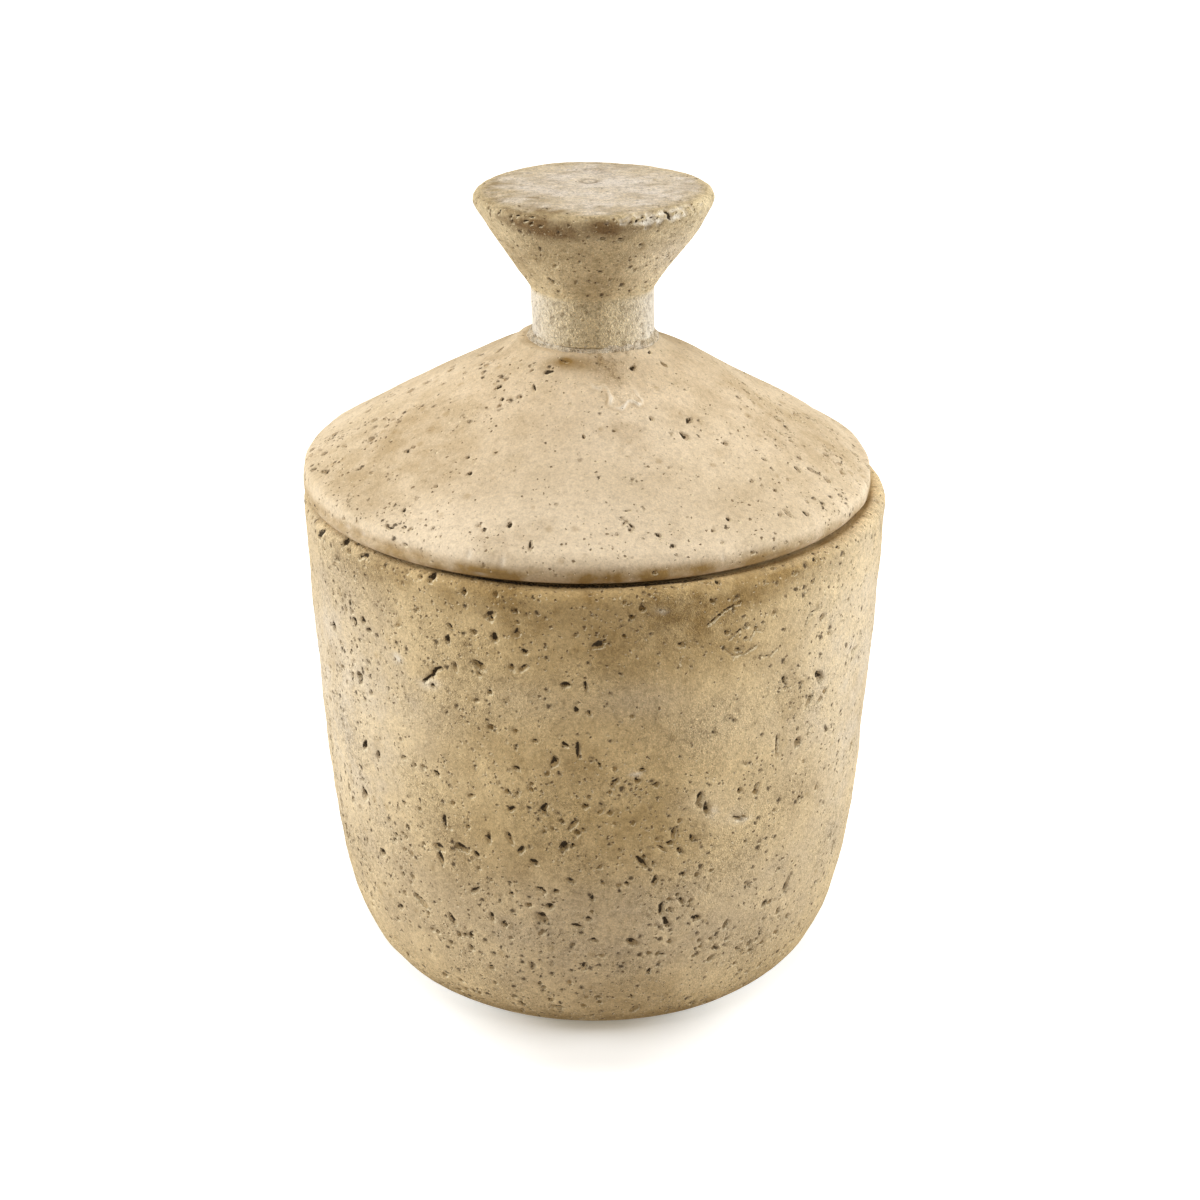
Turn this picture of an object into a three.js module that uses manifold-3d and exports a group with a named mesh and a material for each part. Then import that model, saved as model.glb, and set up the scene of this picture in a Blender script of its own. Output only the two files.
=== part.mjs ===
// Storage jar with a loose conical lid and a flared knob.
// Millimetres, +Z up, the standing face centred on the origin, the side seen first towards -Y.
import * as THREE from "three";
import { mergeVertices } from "three/addons/utils/BufferGeometryUtils.js";
import Module from "manifold-3d";

// Jar body
const RIM_RADIUS = 70;
const RIM_HEIGHT = 122;
const RIM_ROUND = 2.6;
const RIM_INNER_ROUND = 1.6;
const JAR_WALL = 8.5;
const BASE_RADIUS = 47;
// Reach of the foot curve along the floor, and of the wall curve down from the rim.
const FOOT_SWEEP = 20;
const WALL_SWEEP = 63.5;
// How far the wall's pull point lies inside the rim: the side leans out towards the top.
const WALL_LEAN = 2.5;

// Pits: the larger broken air bubbles in the jar's wall.
const PIT_LENGTH = 4.6;
const PIT_WIDTH = 2.3;
const PIT_DEPTH = 1.1;
// Each one's angle from the front, share of the way up the wall, size against the usual one, and turn.
const PITS = [
  [-55, 0.498, 0.95, 76],
  [-53, 0.615, 0.9, 59],
  [-52, 0.763, 0.75, 170],
  [-39, 0.322, 1.2, 155],
  [-33, 0.469, 0.95, 9],
  [-31, 0.825, 1.05, 55],
  [-21, 0.866, 1.05, 160],
  [-11, 0.355, 1.1, 124],
  [-7, 0.69, 0.85, 61],
  [-6, 0.514, 1.1, 78],
  [8, 0.3, 1, 144],
  [9, 0.477, 0.85, 136],
  [15, 0.335, 0.8, 117],
  [22, 0.574, 0.8, 98],
  [29, 0.301, 0.85, 71],
  [43, 0.658, 0.95, 68],
  [46, 0.732, 0.95, 48],
  [48, 0.773, 1.05, 105],
  [63, 0.35, 1, 74],
  [84, 0.68, 1, 80],
  [97, 0.35, 1.15, 30],
  [110, 0.8, 0.9, 120],
  [124, 0.5, 1.2, 65],
  [138, 0.25, 0.95, 150],
  [151, 0.74, 1.05, 20],
  [165, 0.4, 1.1, 95],
  [179, 0.86, 0.85, 50],
  [193, 0.3, 1.2, 140],
  [207, 0.62, 1, 75],
  [221, 0.8, 1.1, 10],
  [235, 0.4, 0.95, 110],
  [249, 0.68, 1.15, 85],
  [263, 0.25, 1, 35],
  [277, 0.56, 0.9, 160],
];

// Lid cover
const SEAT_GAP = 0.3;
const LID_RADIUS = 68.2;
const LID_EDGE_ROUND = 4;
const LID_UNDER_ROUND = 2.6;
const LID_RISE = 36.2;
const LID_WALL = 9;
// Thickness of the crown under the knob.
const CROWN_THICKNESS = 12;
// Locating ring: its depth in the mouth, its wall, its edge and the play left on the tight side.
const RING_DEPTH = 9;
const RING_WALL = 7;
const RING_ROUND = 2;
const RING_PLAY = 1.3;
// The loose lid rests this far to the side of the jar's axis.
const LID_SHIFT = 1.7;
// Hand smoothing left the lid's left flank fuller and its right flank lower than the cone, both a little to the back.
const FLANK_FULL = 0.8;
const FULL_RADIUS = 52;
const FULL_REACH = 17;
const FLANK_LOW = 0.5;
const LOW_RADIUS = 66;
const LOW_REACH = 26;
const FLANK_SIDE = 115;
const FLANK_TURN = 42;

// Knob and the bed of slip under it
const NECK_RADIUS = 14.5;
const NECK_HEIGHT = 11.3;
const NECK_FILLET = 2.5;
const FLARE_HEIGHT = 22.8;
const KNOB_RADIUS = 27.7;
const KNOB_EDGE_ROUND = 2;
const BOND_THICKNESS = 0.6;
const BOND_BEAD = 0.6;
const BOND_GAP = 0.1;
// The knob was set by hand this far off the lid's middle.
const KNOB_SET = 1.4;

const SIDES = 72;

const rad = THREE.MathUtils.degToRad;

// Points of a round about (r, z), from one angle to another, in degrees from the outward direction.
function round(r, z, radius, from, to, steps) {
  const points = [];
  for (let i = 0; i <= steps; i += 1) {
    const a = rad(from + ((to - from) * i) / steps);
    points.push(new THREE.Vector2(r + radius * Math.cos(a), z + radius * Math.sin(a)));
  }
  return points;
}

const at = (r, z) => new THREE.Vector2(r, z);

const wasm = await Module();
wasm.setup();

// A closed geometry as a solid that can be cut: shared vertices merged, and no flat triangles left on the axis.
function solidOf(geometry) {
  geometry.deleteAttribute("normal");
  geometry.deleteAttribute("uv");
  const merged = mergeVertices(geometry);
  const corners = [];
  for (let i = 0; i < merged.index.count; i += 3) {
    const [a, b, c] = [0, 1, 2].map((k) => merged.index.getX(i + k));
    if (a !== b && b !== c && c !== a) {
      corners.push(a, b, c);
    }
  }
  return new wasm.Manifold(
    new wasm.Mesh({
      numProp: 3,
      vertProperties: new Float32Array(merged.attributes.position.array),
      triVerts: new Uint32Array(corners),
    }),
  );
}

function geometryOf(solid) {
  const { vertProperties, triVerts } = solid.getMesh();
  const geometry = new THREE.BufferGeometry();
  geometry.setAttribute("position", new THREE.BufferAttribute(vertProperties, 3));
  geometry.setIndex(new THREE.BufferAttribute(triVerts, 1));
  geometry.computeVertexNormals();
  return geometry;
}

// A solid of revolution about Z from a profile that starts and ends on the axis.
function revolve(name, profile, color) {
  const geometry = new THREE.LatheGeometry(profile, SIDES);
  geometry.rotateX(Math.PI / 2);
  const material = new THREE.MeshStandardMaterial({ color, roughness: 0.9 });
  const mesh = new THREE.Mesh(geometry, material);
  mesh.name = name;
  return mesh;
}

// Jar: one swept curve makes the outside, and the inside is its parallel at the wall's thickness.
const wallCurve = new THREE.CubicBezierCurve(
  at(BASE_RADIUS, 0),
  at(BASE_RADIUS + FOOT_SWEEP, 0),
  at(RIM_RADIUS - WALL_LEAN, RIM_HEIGHT - RIM_ROUND - WALL_SWEEP),
  at(RIM_RADIUS, RIM_HEIGHT - RIM_ROUND),
);
const WALL_STEPS = 14;
const outside = wallCurve.getPoints(WALL_STEPS);
const inside = outside.map((point, i) => {
  const along = wallCurve.getTangent(i / WALL_STEPS);
  return at(point.x - JAR_WALL * along.y, point.y + JAR_WALL * along.x);
});
const mouthRadius = inside[WALL_STEPS].x;
const innerWall = inside.filter((point) => point.y < RIM_HEIGHT - RIM_INNER_ROUND - 0.5).reverse();

const jarBody = revolve(
  "jar_body",
  [
    at(0, 0),
    ...outside.slice(0, -1),
    ...round(RIM_RADIUS - RIM_ROUND, RIM_HEIGHT - RIM_ROUND, RIM_ROUND, 0, 90, 4),
    ...round(mouthRadius + RIM_INNER_ROUND, RIM_HEIGHT - RIM_INNER_ROUND, RIM_INNER_ROUND, 90, 180, 3),
    ...innerWall,
    at(0, JAR_WALL),
  ],
  0xb79f78,
);

// Pits: each is half of a small faceted oval, sunk into the wall where its middle lies on the wall curve.
let pitted = solidOf(jarBody.geometry);
for (const [angle, share, size, turn] of PITS) {
  const middle = wallCurve.getPointAt(share);
  const rise = wallCurve.getTangentAt(share);
  const outward = new THREE.Vector3(Math.sin(rad(angle)), -Math.cos(rad(angle)), 0);
  const right = new THREE.Vector3(Math.cos(rad(angle)), Math.sin(rad(angle)), 0);
  const up = outward.clone().multiplyScalar(rise.x).setZ(rise.y);
  const long = right.clone().multiplyScalar(Math.cos(rad(turn))).addScaledVector(up, Math.sin(rad(turn)));
  const normal = right.clone().cross(up);
  const place = new THREE.Matrix4().makeBasis(long, normal.clone().cross(long), normal);
  place.setPosition(outward.multiplyScalar(middle.x).setZ(middle.y));
  const pit = new THREE.IcosahedronGeometry(1, 0);
  pit.scale((size * PIT_LENGTH) / 2, (size * PIT_WIDTH) / 2, PIT_DEPTH);
  pitted = pitted.subtract(solidOf(pit.applyMatrix4(place)));
}
jarBody.geometry = geometryOf(pitted);

// Lid cover: a straight cone that runs tangent into the rounded edge, hollow below at an even wall.
const seat = RIM_HEIGHT + SEAT_GAP;
const land = seat + LID_RISE;
const bondRadius = NECK_RADIUS + BOND_BEAD;
const landRadius = bondRadius + KNOB_SET;
const edge = at(LID_RADIUS - LID_EDGE_ROUND, seat + LID_EDGE_ROUND);
const reach = Math.hypot(edge.x - landRadius, edge.y - land);
const slope = Math.atan2(edge.y - land, edge.x - landRadius) + Math.asin(LID_EDGE_ROUND / reach);
const edgeTop = 90 + THREE.MathUtils.radToDeg(slope);
const underCone = (r) => land - LID_WALL / Math.cos(slope) + (r - landRadius) * Math.tan(slope);
const ceiling = land - CROWN_THICKNESS;
const ceilingRadius = landRadius + (ceiling - underCone(landRadius)) / Math.tan(slope);
const ringOuter = mouthRadius - LID_SHIFT - RING_PLAY;
const ringInner = ringOuter - RING_WALL;
const ringEnd = seat - RING_DEPTH + RING_ROUND;

const CONE_STEPS = 9;
const coneFoot = at(
  edge.x + LID_EDGE_ROUND * Math.cos(rad(edgeTop)),
  edge.y + LID_EDGE_ROUND * Math.sin(rad(edgeTop)),
);
const coneTop = at(landRadius, land);
const coneLine = Array.from({ length: CONE_STEPS }, (_, i) => coneFoot.clone().lerp(coneTop, (i + 1) / CONE_STEPS));
const lidProfile = [
  at(0, ceiling),
  at(ceilingRadius, ceiling),
  at(ringInner, underCone(ringInner)),
  ...round(ringInner + RING_ROUND, ringEnd, RING_ROUND, 180, 270, 3),
  ...round(ringOuter - RING_ROUND, ringEnd, RING_ROUND, 270, 360, 3),
  at(ringOuter, seat),
  ...round(LID_RADIUS - LID_UNDER_ROUND, seat + LID_UNDER_ROUND, LID_UNDER_ROUND, -90, 0, 4),
  ...round(edge.x, edge.y, LID_EDGE_ROUND, 0, edgeTop, 5),
  ...coneLine,
  at(0, land),
];
const lidCover = revolve("lid_cover", lidProfile, 0xc9b48f);

// The uneven flanks: soft bells on the left and right of the cone, which die out in the round of the edge.
const bell = (away, reach) => Math.exp(-((away / reach) ** 2));
const apart = (turn, middle) => ((turn - middle + 540) % 360) - 180;
const lidPoints = lidCover.geometry.attributes.position;
for (let i = 0; i < lidPoints.count; i += 1) {
  const point = new THREE.Vector3().fromBufferAttribute(lidPoints, i);
  const r = Math.hypot(point.x, point.y);
  const onTop = i % lidProfile.length >= lidProfile.length - 2 - CONE_STEPS - 4;
  if (onTop && r > landRadius + 0.01) {
    const turn = THREE.MathUtils.radToDeg(Math.atan2(point.x, -point.y));
    const full = FLANK_FULL * bell(r - FULL_RADIUS, FULL_REACH) * bell(apart(turn, -FLANK_SIDE), FLANK_TURN);
    const low = FLANK_LOW * bell(r - LOW_RADIUS, LOW_REACH) * bell(apart(turn, FLANK_SIDE), FLANK_TURN);
    const fade = THREE.MathUtils.clamp((2 * (LID_RADIUS - r)) / LID_EDGE_ROUND, 0, 1);
    const push = (full - low) * fade;
    point.x *= 1 - (push * Math.sin(slope)) / r;
    point.y *= 1 - (push * Math.sin(slope)) / r;
    lidPoints.setXYZ(i, point.x, point.y, point.z + push * Math.cos(slope));
  }
}
lidCover.geometry.translate(-LID_SHIFT, 0, 0);

// Bed of slip on the land, wider than the neck by a squeezed-out bead.
const bondFoot = land + BOND_GAP;
const bondTop = bondFoot + BOND_THICKNESS;
const knobBond = revolve(
  "knob_bond",
  [at(0, bondFoot), at(bondRadius, bondFoot), at(NECK_RADIUS, bondTop), at(0, bondTop)],
  0xa58d68,
);

// Knob: a straight neck, blended into a flare that runs tangent into the rounded edge of the top.
const neckFoot = bondTop + BOND_GAP;
const neckTop = neckFoot + NECK_HEIGHT;
const knobTop = neckTop + FLARE_HEIGHT;
const rimOfKnob = at(KNOB_RADIUS - KNOB_EDGE_ROUND, knobTop - KNOB_EDGE_ROUND);
const flareReach = Math.hypot(rimOfKnob.x - NECK_RADIUS, rimOfKnob.y - neckTop);
const flareAngle = Math.atan2(rimOfKnob.y - neckTop, rimOfKnob.x - NECK_RADIUS)
  - Math.asin(KNOB_EDGE_ROUND / flareReach);
const flareSide = THREE.MathUtils.radToDeg(flareAngle) - 90;
const blendDrop = NECK_FILLET * Math.tan((Math.PI / 2 - flareAngle) / 2);

const lidKnob = revolve(
  "lid_knob",
  [
    at(0, neckFoot),
    at(NECK_RADIUS, neckFoot),
    ...round(NECK_RADIUS + NECK_FILLET, neckTop - blendDrop, NECK_FILLET, 180, 180 + flareSide, 3),
    ...round(rimOfKnob.x, rimOfKnob.y, KNOB_EDGE_ROUND, flareSide, 90, 6),
    at(0, knobTop),
  ],
  0xc4b18f,
);
for (const mesh of [knobBond, lidKnob]) {
  mesh.geometry.translate(KNOB_SET - LID_SHIFT, 0, 0);
}

const part = new THREE.Group();
part.name = "storage_jar";
part.add(jarBody, lidCover, knobBond, lidKnob);

export default part;
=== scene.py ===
# %% [markdown]
# # A pitted storage jar with a cone lid
# The real object is a round storage jar of matt, unglazed ceramic that looks like cast stone: sandy, warm
# beige and full of small holes that air bubbles left in the mould. A loose cone lid with a flared knob closes
# it. The plain solids come first, as a frame that stays where it is. Everything after that is made to lie on
# them.

# %% Load the packed solids
import math
from types import SimpleNamespace

import bpy
import numpy as np
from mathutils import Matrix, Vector


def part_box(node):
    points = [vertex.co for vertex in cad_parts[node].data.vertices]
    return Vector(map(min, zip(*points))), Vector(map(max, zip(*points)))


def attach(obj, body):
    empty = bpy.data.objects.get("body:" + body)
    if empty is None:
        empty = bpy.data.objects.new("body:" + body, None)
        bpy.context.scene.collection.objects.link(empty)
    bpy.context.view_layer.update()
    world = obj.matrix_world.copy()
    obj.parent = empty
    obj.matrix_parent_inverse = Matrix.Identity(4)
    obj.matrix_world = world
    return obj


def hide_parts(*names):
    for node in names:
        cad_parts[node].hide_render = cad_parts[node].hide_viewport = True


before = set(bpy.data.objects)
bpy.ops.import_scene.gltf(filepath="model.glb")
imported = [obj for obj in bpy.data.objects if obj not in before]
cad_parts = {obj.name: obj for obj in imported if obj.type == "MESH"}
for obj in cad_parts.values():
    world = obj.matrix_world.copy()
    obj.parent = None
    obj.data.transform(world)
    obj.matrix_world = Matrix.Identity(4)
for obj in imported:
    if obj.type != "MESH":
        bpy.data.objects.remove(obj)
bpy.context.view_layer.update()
MM = 0.001
SIZE = {name: np.array(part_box(name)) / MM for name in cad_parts}
for name, (low, high) in SIZE.items():
    print(name, "from", low.round(1), "to", high.round(1), "mm")

# %% [markdown]
# ## Camera
# The photograph looks down on the jar at about 23 degrees from half a metre away. Fitting the ellipses of
# rim, lid and knob gives the place of the lens and a focal length of 69 mm on a 36 mm sensor, so the
# perspective is the photograph's.

# %% Camera
LENS_PLACE = (1.35 * MM, -522.9 * MM, 317.1 * MM)
LOOK_DOWN = 23.475

lens = bpy.data.cameras.new("jar_camera")
lens.lens = 69.0
lens.sensor_width = 36.0
lens.clip_start = 0.01
camera = bpy.data.objects.new("jar_camera", lens)
camera.location = LENS_PLACE
camera.rotation_euler = (math.radians(90.0 - LOOK_DOWN), 0.0, 0.0)
bpy.context.scene.collection.objects.link(camera)
bpy.context.scene.camera = camera
bpy.context.scene.view_settings.view_transform = "Standard"
print("camera", tuple(round(v, 3) for v in camera.location))

# %% [markdown]
# ## Soft studio light
# The flanks of the jar are bright and its front is darker and warmer: a low softbox stands on either side,
# one hangs overhead a little to the front, and the rest is warm light from the room. An area lamp of P watts
# at distance D lights a surface that faces it to the level P / (9.87 D^2), so each lamp's power is worked out
# from the level that it should give.

# %% Softboxes
JAR_MIDDLE = Vector((0.0, 0.0, 0.09))


def softbox(name, side, height, reach, size, level, tint):
    """A square area lamp that faces the jar: its angle from the front, its height in degrees, distance and
    size in metres, and the level to which it lights a surface that faces it."""
    lamp = bpy.data.lights.new(name, "AREA")
    lamp.size = size
    lamp.energy = level * math.pi ** 2 * reach ** 2
    lamp.color = tint
    a, e = math.radians(side), math.radians(height)
    way = Vector((math.sin(a) * math.cos(e), -math.cos(a) * math.cos(e), math.sin(e)))
    box = bpy.data.objects.new(name, lamp)
    box.location = JAR_MIDDLE + reach * way
    box.rotation_euler = (-way).to_track_quat("-Z", "Y").to_euler()
    bpy.context.scene.collection.objects.link(box)
    print(name, round(lamp.energy, 1), "W at", round(reach, 2), "m")


SOFTBOXES = [
    ("left_softbox", -90.0, 11.0, 1.1, 0.45, 0.93, (0.86, 0.92, 1.0)),
    ("right_softbox", 90.0, 11.0, 1.1, 0.45, 0.87, (0.84, 0.91, 1.0)),
    ("overhead_softbox", 0.0, 72.0, 1.3, 0.8, 0.54, (0.90, 0.92, 1.0)),
]
for row in SOFTBOXES:
    softbox(*row)

# %% [markdown]
# ## Writing shader maths as Python
# A finish is a small network of nodes. One class wraps an output socket, so that sums and products of sockets
# can be written as plain expressions. Each expression adds the Math nodes that it needs, and colours go
# through Mix nodes.


# %% Wires between nodes
class Wire:
    """One output socket of a node tree; arithmetic on wires and numbers adds Math nodes to that tree."""

    def __init__(self, tree, socket=None):
        self.tree = tree
        self.socket = socket

    def node(self, kind, settings=None, values=None, out=0):
        """Adds a node of any type: its settings are set first, then each socket gets its value or its
        link."""
        made = self.tree.nodes.new("ShaderNode" + kind)
        for key, value in (settings or {}).items():
            setattr(made, key, value)
        for key, value in (values or {}).items():
            if isinstance(value, Wire):
                self.tree.links.new(value.socket, made.inputs[key])
            else:
                made.inputs[key].default_value = value
        return Wire(self.tree, made.outputs[out]) if made.outputs else made

    def maths(self, operation, first, second=0.0):
        """One Math node: an operation on two wires or numbers."""
        return self.node("Math", {"operation": operation}, {0: first, 1: second})

    def __add__(self, other):
        return self.maths("ADD", self, other)

    def __radd__(self, other):
        return self.maths("ADD", other, self)

    def __sub__(self, other):
        return self.maths("SUBTRACT", self, other)

    def __rsub__(self, other):
        return self.maths("SUBTRACT", other, self)

    def __mul__(self, other):
        return self.maths("MULTIPLY", self, other)

    def __rmul__(self, other):
        return self.maths("MULTIPLY", other, self)

    def __pow__(self, other):
        return self.maths("POWER", self, other)

    def most(self, other):
        """The larger of two values."""
        return self.maths("MAXIMUM", self, other)

    def step(self, low, high):
        """0 below low, 1 above high and a smooth rise between; with low above high it falls instead."""
        values = {"Value": self, "From Min": low, "From Max": high}
        return self.node("MapRange", {"interpolation_type": "SMOOTHSTEP"}, values)

    def between(self, first, second):
        """A colour on the way from first to second, with this wire as the share of second."""
        return self.node("Mix", {"data_type": "RGBA"}, {0: self, 6: first, 7: second}, 2)

    def paint(self, colour, share):
        """This colour, covered by another one to a share."""
        return self.node("Mix", {"data_type": "RGBA"}, {0: share, 6: self, 7: colour}, 2)

    def shade(self, level):
        """This colour times a level."""
        settings = {"data_type": "RGBA", "blend_type": "MULTIPLY"}
        return self.node("Mix", settings, {0: 1.0, 6: self, 7: level}, 2)


print("a wire can", ", ".join(name for name in vars(Wire) if not name.startswith("_")))

# %% [markdown]
# ## White floor and surroundings
# The photograph is cut out on white, with only a short soft shadow at the foot. Where the camera looks
# straight at the floor, the floor adds some light of its own to what the lamps give, so that it reads white
# and the shadow still shows. Near the foot that added light fades to a dark tone, darkest in front, which
# paints a shadow over the lamps' own. For every other ray it is a plain pale floor that throws light up onto
# the foot of the jar.

# %% Floor
FLOOR_REACH = 3.0
BOUNCE_COLOUR = (0.62, 0.62, 0.68, 1.0)
SEEN_COLOUR = (0.72, 0.72, 0.72, 1.0)
GLOW_IN_FRONT = (0.24, 0.22, 0.18, 1.0)
GLOW_BESIDE = (0.70, 0.71, 0.70, 1.0)
WHITE = (1.0, 1.0, 1.0, 1.0)
SHADOW_WIDTH = (0.004, 0.050)
SHADOW_REACH = (0.066, 0.092)


def node_tree_of(owner):
    """The emptied node tree of a material or world."""
    owner.use_nodes = True
    owner.node_tree.nodes.clear()
    return Wire(owner.node_tree)


def seen_directly(wire):
    """1 where the camera, a reflection or a clear piece looks at the surface, and 0 for light that
    bounces."""
    rays = [wire.node("LightPath", out=f"Is {kind} Ray") for kind in ("Camera", "Glossy", "Transmission")]
    return rays[0].most(rays[1]).most(rays[2])


floor_mesh = bpy.data.meshes.new("pale_floor")
corners = FLOOR_REACH * np.array([(-1, -1, 0), (1, -1, 0), (1, 1, 0), (-1, 1, 0)], float)
floor_mesh.from_pydata(corners.tolist(), [], [(0, 1, 2, 3)])
floor = bpy.data.objects.new("pale_floor", floor_mesh)
bpy.context.scene.collection.objects.link(floor)

floor_finish = bpy.data.materials.new("pale_floor")
wire = node_tree_of(floor_finish)
place = wire.node("TexCoord", out="Object")
away = wire.node("VectorMath", {"operation": "LENGTH"}, {0: place}, "Value")
sideways = wire.node("SeparateXYZ", None, {0: place}, "X")
sideways = sideways.maths("ABSOLUTE", sideways)
# Painted shadow: near the foot the floor's own glow fades to a dark tone, darkest in front, over the lamps'
# own shadow.
near_foot = sideways.step(*SHADOW_WIDTH).between(GLOW_IN_FRONT, GLOW_BESIDE)
glow = away.step(*SHADOW_REACH).between(near_foot, WHITE)
lit = wire.node("BsdfDiffuse", None, {"Color": SEEN_COLOUR})
own = wire.node("Emission", None, {"Color": glow, "Strength": 1.0})
shown = wire.node("AddShader", None, {0: lit, 1: own})
plain = wire.node("BsdfDiffuse", None, {"Color": BOUNCE_COLOUR})
mixed = wire.node("MixShader", None, {0: seen_directly(wire), 1: plain, 2: shown})
wire.node("OutputMaterial", None, {"Surface": mixed})
floor_mesh.materials.append(floor_finish)
print("floor", 2 * FLOOR_REACH, "m wide, its shadow ends", SHADOW_REACH[1], "m from the axis")

# %% [markdown]
# ## The room
# What the lamps leave dark on a real set is filled by light from walls and table. A world of one even warm
# tone gives that light. The camera sees the same world as plain white, because the photograph is cut out.

# %% Room light
ROOM_LIGHT = (0.30, 0.25, 0.15, 1.0)

world = bpy.data.worlds.new("white_room")
wire = node_tree_of(world)
room = seen_directly(wire).between(ROOM_LIGHT, WHITE)
wire.node("OutputWorld", None, {"Surface": wire.node("Background", None, {"Color": room, "Strength": 1.0})})
bpy.context.scene.world = world
print("room light", ROOM_LIGHT[:3])

# %% [markdown]
# ## Profiles
# Jar, lid and knob are turned or pressed shapes, so each is a profile carried round the upright axis. A
# profile starts on the axis below, runs out, up the outside, and back to the axis, and its points lie closer
# together where holes show.


# %% Lines of a profile
def bezier(p0, p1, p2, p3, count=400):
    """Points of a cubic curve: its two ends and two pull points, weighted by their Bernstein shares."""
    t = np.linspace(0.0, 1.0, count)[:, None]
    s = 1.0 - t
    p0, p1, p2, p3 = (np.array(p, float) for p in (p0, p1, p2, p3))
    return s ** 3 * p0 + 3 * s ** 2 * t * p1 + 3 * s * t ** 2 * p2 + t ** 3 * p3


def arc(r, z, radius, start, end, count=60):
    """Points of a round: its centre plus the radius times cosine and sine of the angles from start to end."""
    a = np.radians(np.linspace(start, end, count))
    return np.stack([r + radius * np.cos(a), z + radius * np.sin(a)], 1)


def paced(points, step):
    """The same line with points one step apart, interpolated along its length."""
    points = np.asarray(points, float)
    along = np.concatenate([[0.0], np.cumsum(np.hypot(*np.diff(points, axis=0).T))])
    stops = np.linspace(0.0, along[-1], max(2, round(along[-1] / step) + 1))
    return np.stack([np.interp(stops, along, points[:, k]) for k in (0, 1)], 1)


def joined(*lines):
    """Lines laid end to end, without the doubled points where they meet."""
    return np.concatenate([lines[0]] + [line[1:] for line in lines[1:]])


print("a quarter round of 10 mm has", len(paced(arc(0.0, 0.0, 10.0, 0, 90), 1.0)), "points 1 mm apart")

# %% [markdown]
# ## Skins
# A profile that is carried round the axis gives a grid of points: its rows follow the profile and its columns
# go round. Blender's Screw modifier could do that, but a grid of arrays can be pushed in and out, and
# coloured, point by point.

# %% A skin of rotation
# The cores and lips of holes are painted shade and painted highlights, and the soil layer also holds painted
# shade.
LAYERS = ("pit", "core", "lip", "soil", "pale", "sand", "dust", "crowd")


def spin(profile, columns, centre):
    """A skin as whole arrays: rows follow the profile, columns go round from the back past the front at 0
    degrees. The outward direction is the profile's own direction, turned by a quarter."""
    r, z = profile.T
    dr, dz = np.gradient(r), np.gradient(z)
    size = np.hypot(dr, dz)
    along = np.concatenate([[0.0], np.cumsum(np.hypot(np.diff(r), np.diff(z)))])
    shape = (len(r), columns)
    angle = np.arange(columns) * 360.0 / columns - 180.0
    skin = SimpleNamespace(r=r, z=z, out=dz / size, up=-dr / size, along=along, angle=angle, centre=centre)
    skin.push = np.zeros(shape)
    skin.hole = np.zeros(shape)
    skin.drop = np.zeros(shape)
    skin.tint = {name: np.zeros(shape) for name in LAYERS}
    return skin


def points_of(skin):
    """Places of all points: the profile pushed along its outward direction, then carried round the axis."""
    a = np.radians(skin.angle)
    r = skin.r[:, None] + skin.out[:, None] * skin.push
    z = skin.z[:, None] + skin.up[:, None] * skin.push - skin.drop
    return skin.centre + r * np.sin(a), -r * np.cos(a), z


print("stored at each point:", ", ".join(LAYERS))

# %% [markdown]
# ## Swells
# Nothing on the jar is truly round: hand finishing left long soft swells and a fine roughness. A Displace
# modifier with a noise texture could give them. A sum of cosine waves in random directions does it on whole
# arrays, and its height, length and seed are three plain numbers.


# %% Swells
def swell(x, y, z, length, seed, waves=26):
    """Soft random relief with a spread of one: cosines of about one length, each in its own random
    direction."""
    rng = np.random.default_rng(seed)
    way = rng.normal(size=(waves, 3))
    way *= (2 * np.pi / (length * rng.uniform(0.7, 1.6, waves)) / np.linalg.norm(way, axis=1))[:, None]
    lead = rng.uniform(0.0, 2 * np.pi, waves)
    return sum(np.cos(w[0] * x + w[1] * y + w[2] * z + c) for w, c in zip(way, lead)) * math.sqrt(2.0 / waves)


def swells(points, rows):
    """Swells laid over each other: the height in millimetres, length and seed of each."""
    return sum(height * swell(*points, length, seed) for height, length, seed in rows)


print("a swell has a spread of", round(swell(np.arange(1000.0), 0.0, 0.0, 10.0, 0).std(), 2))

# %% [markdown]
# ## Lumps and layers
# A fuller flank, a stain and a patch of dust are all soft hills on a skin. They could be painted with a
# brush, but rows of numbers can be read, moved and made stronger one at a time. A lump pushes the points. A
# patch is stored as a layer, a value at each point that the finish reads later.


# %% Ramps, lumps and layers
def turned(angle, middle):
    """Signed difference of two angles in degrees, the short way round."""
    return (angle - middle + 180.0) % 360.0 - 180.0


def ramp(value, low, high):
    """0 at low, 1 at high, a straight rise between and level beyond; with low above high it falls instead."""
    return np.clip((value - low) / (high - low), 0.0, 1.0)


def hill(away, wide):
    """A soft hill: e to minus the square of distance over width."""
    return np.exp(-(away / wide) ** 2)


def hills(angle, level, rows):
    """Hills added up: the angle and level of each one's middle, degrees wide, millimetres tall, and its
    weight."""
    return sum(
        weight * hill(turned(angle, middle), wide) * hill(level - top, tall)
        for middle, top, wide, tall, weight in rows
    )


def lumps(skin, find, rows):
    """Hills on a skin; find turns the height or radius of each into a length along the profile."""
    placed = [(angle, find(level), *rest) for angle, level, *rest in rows]
    return hills(skin.angle[None, :], skin.along[:, None], placed)


def patches(skin, find, rows):
    """Lumps that colour a skin, held between 0 and 1."""
    return np.clip(lumps(skin, find, rows), 0.0, 1.0)


def lay(skin, layer, values):
    """Lays values over a stored layer: at each point the larger one stays."""
    skin.tint[layer] = np.maximum(skin.tint[layer], values)


print("a hill falls to", round(float(hill(1.0, 1.0)), 2), "at one width from its middle")

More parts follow.
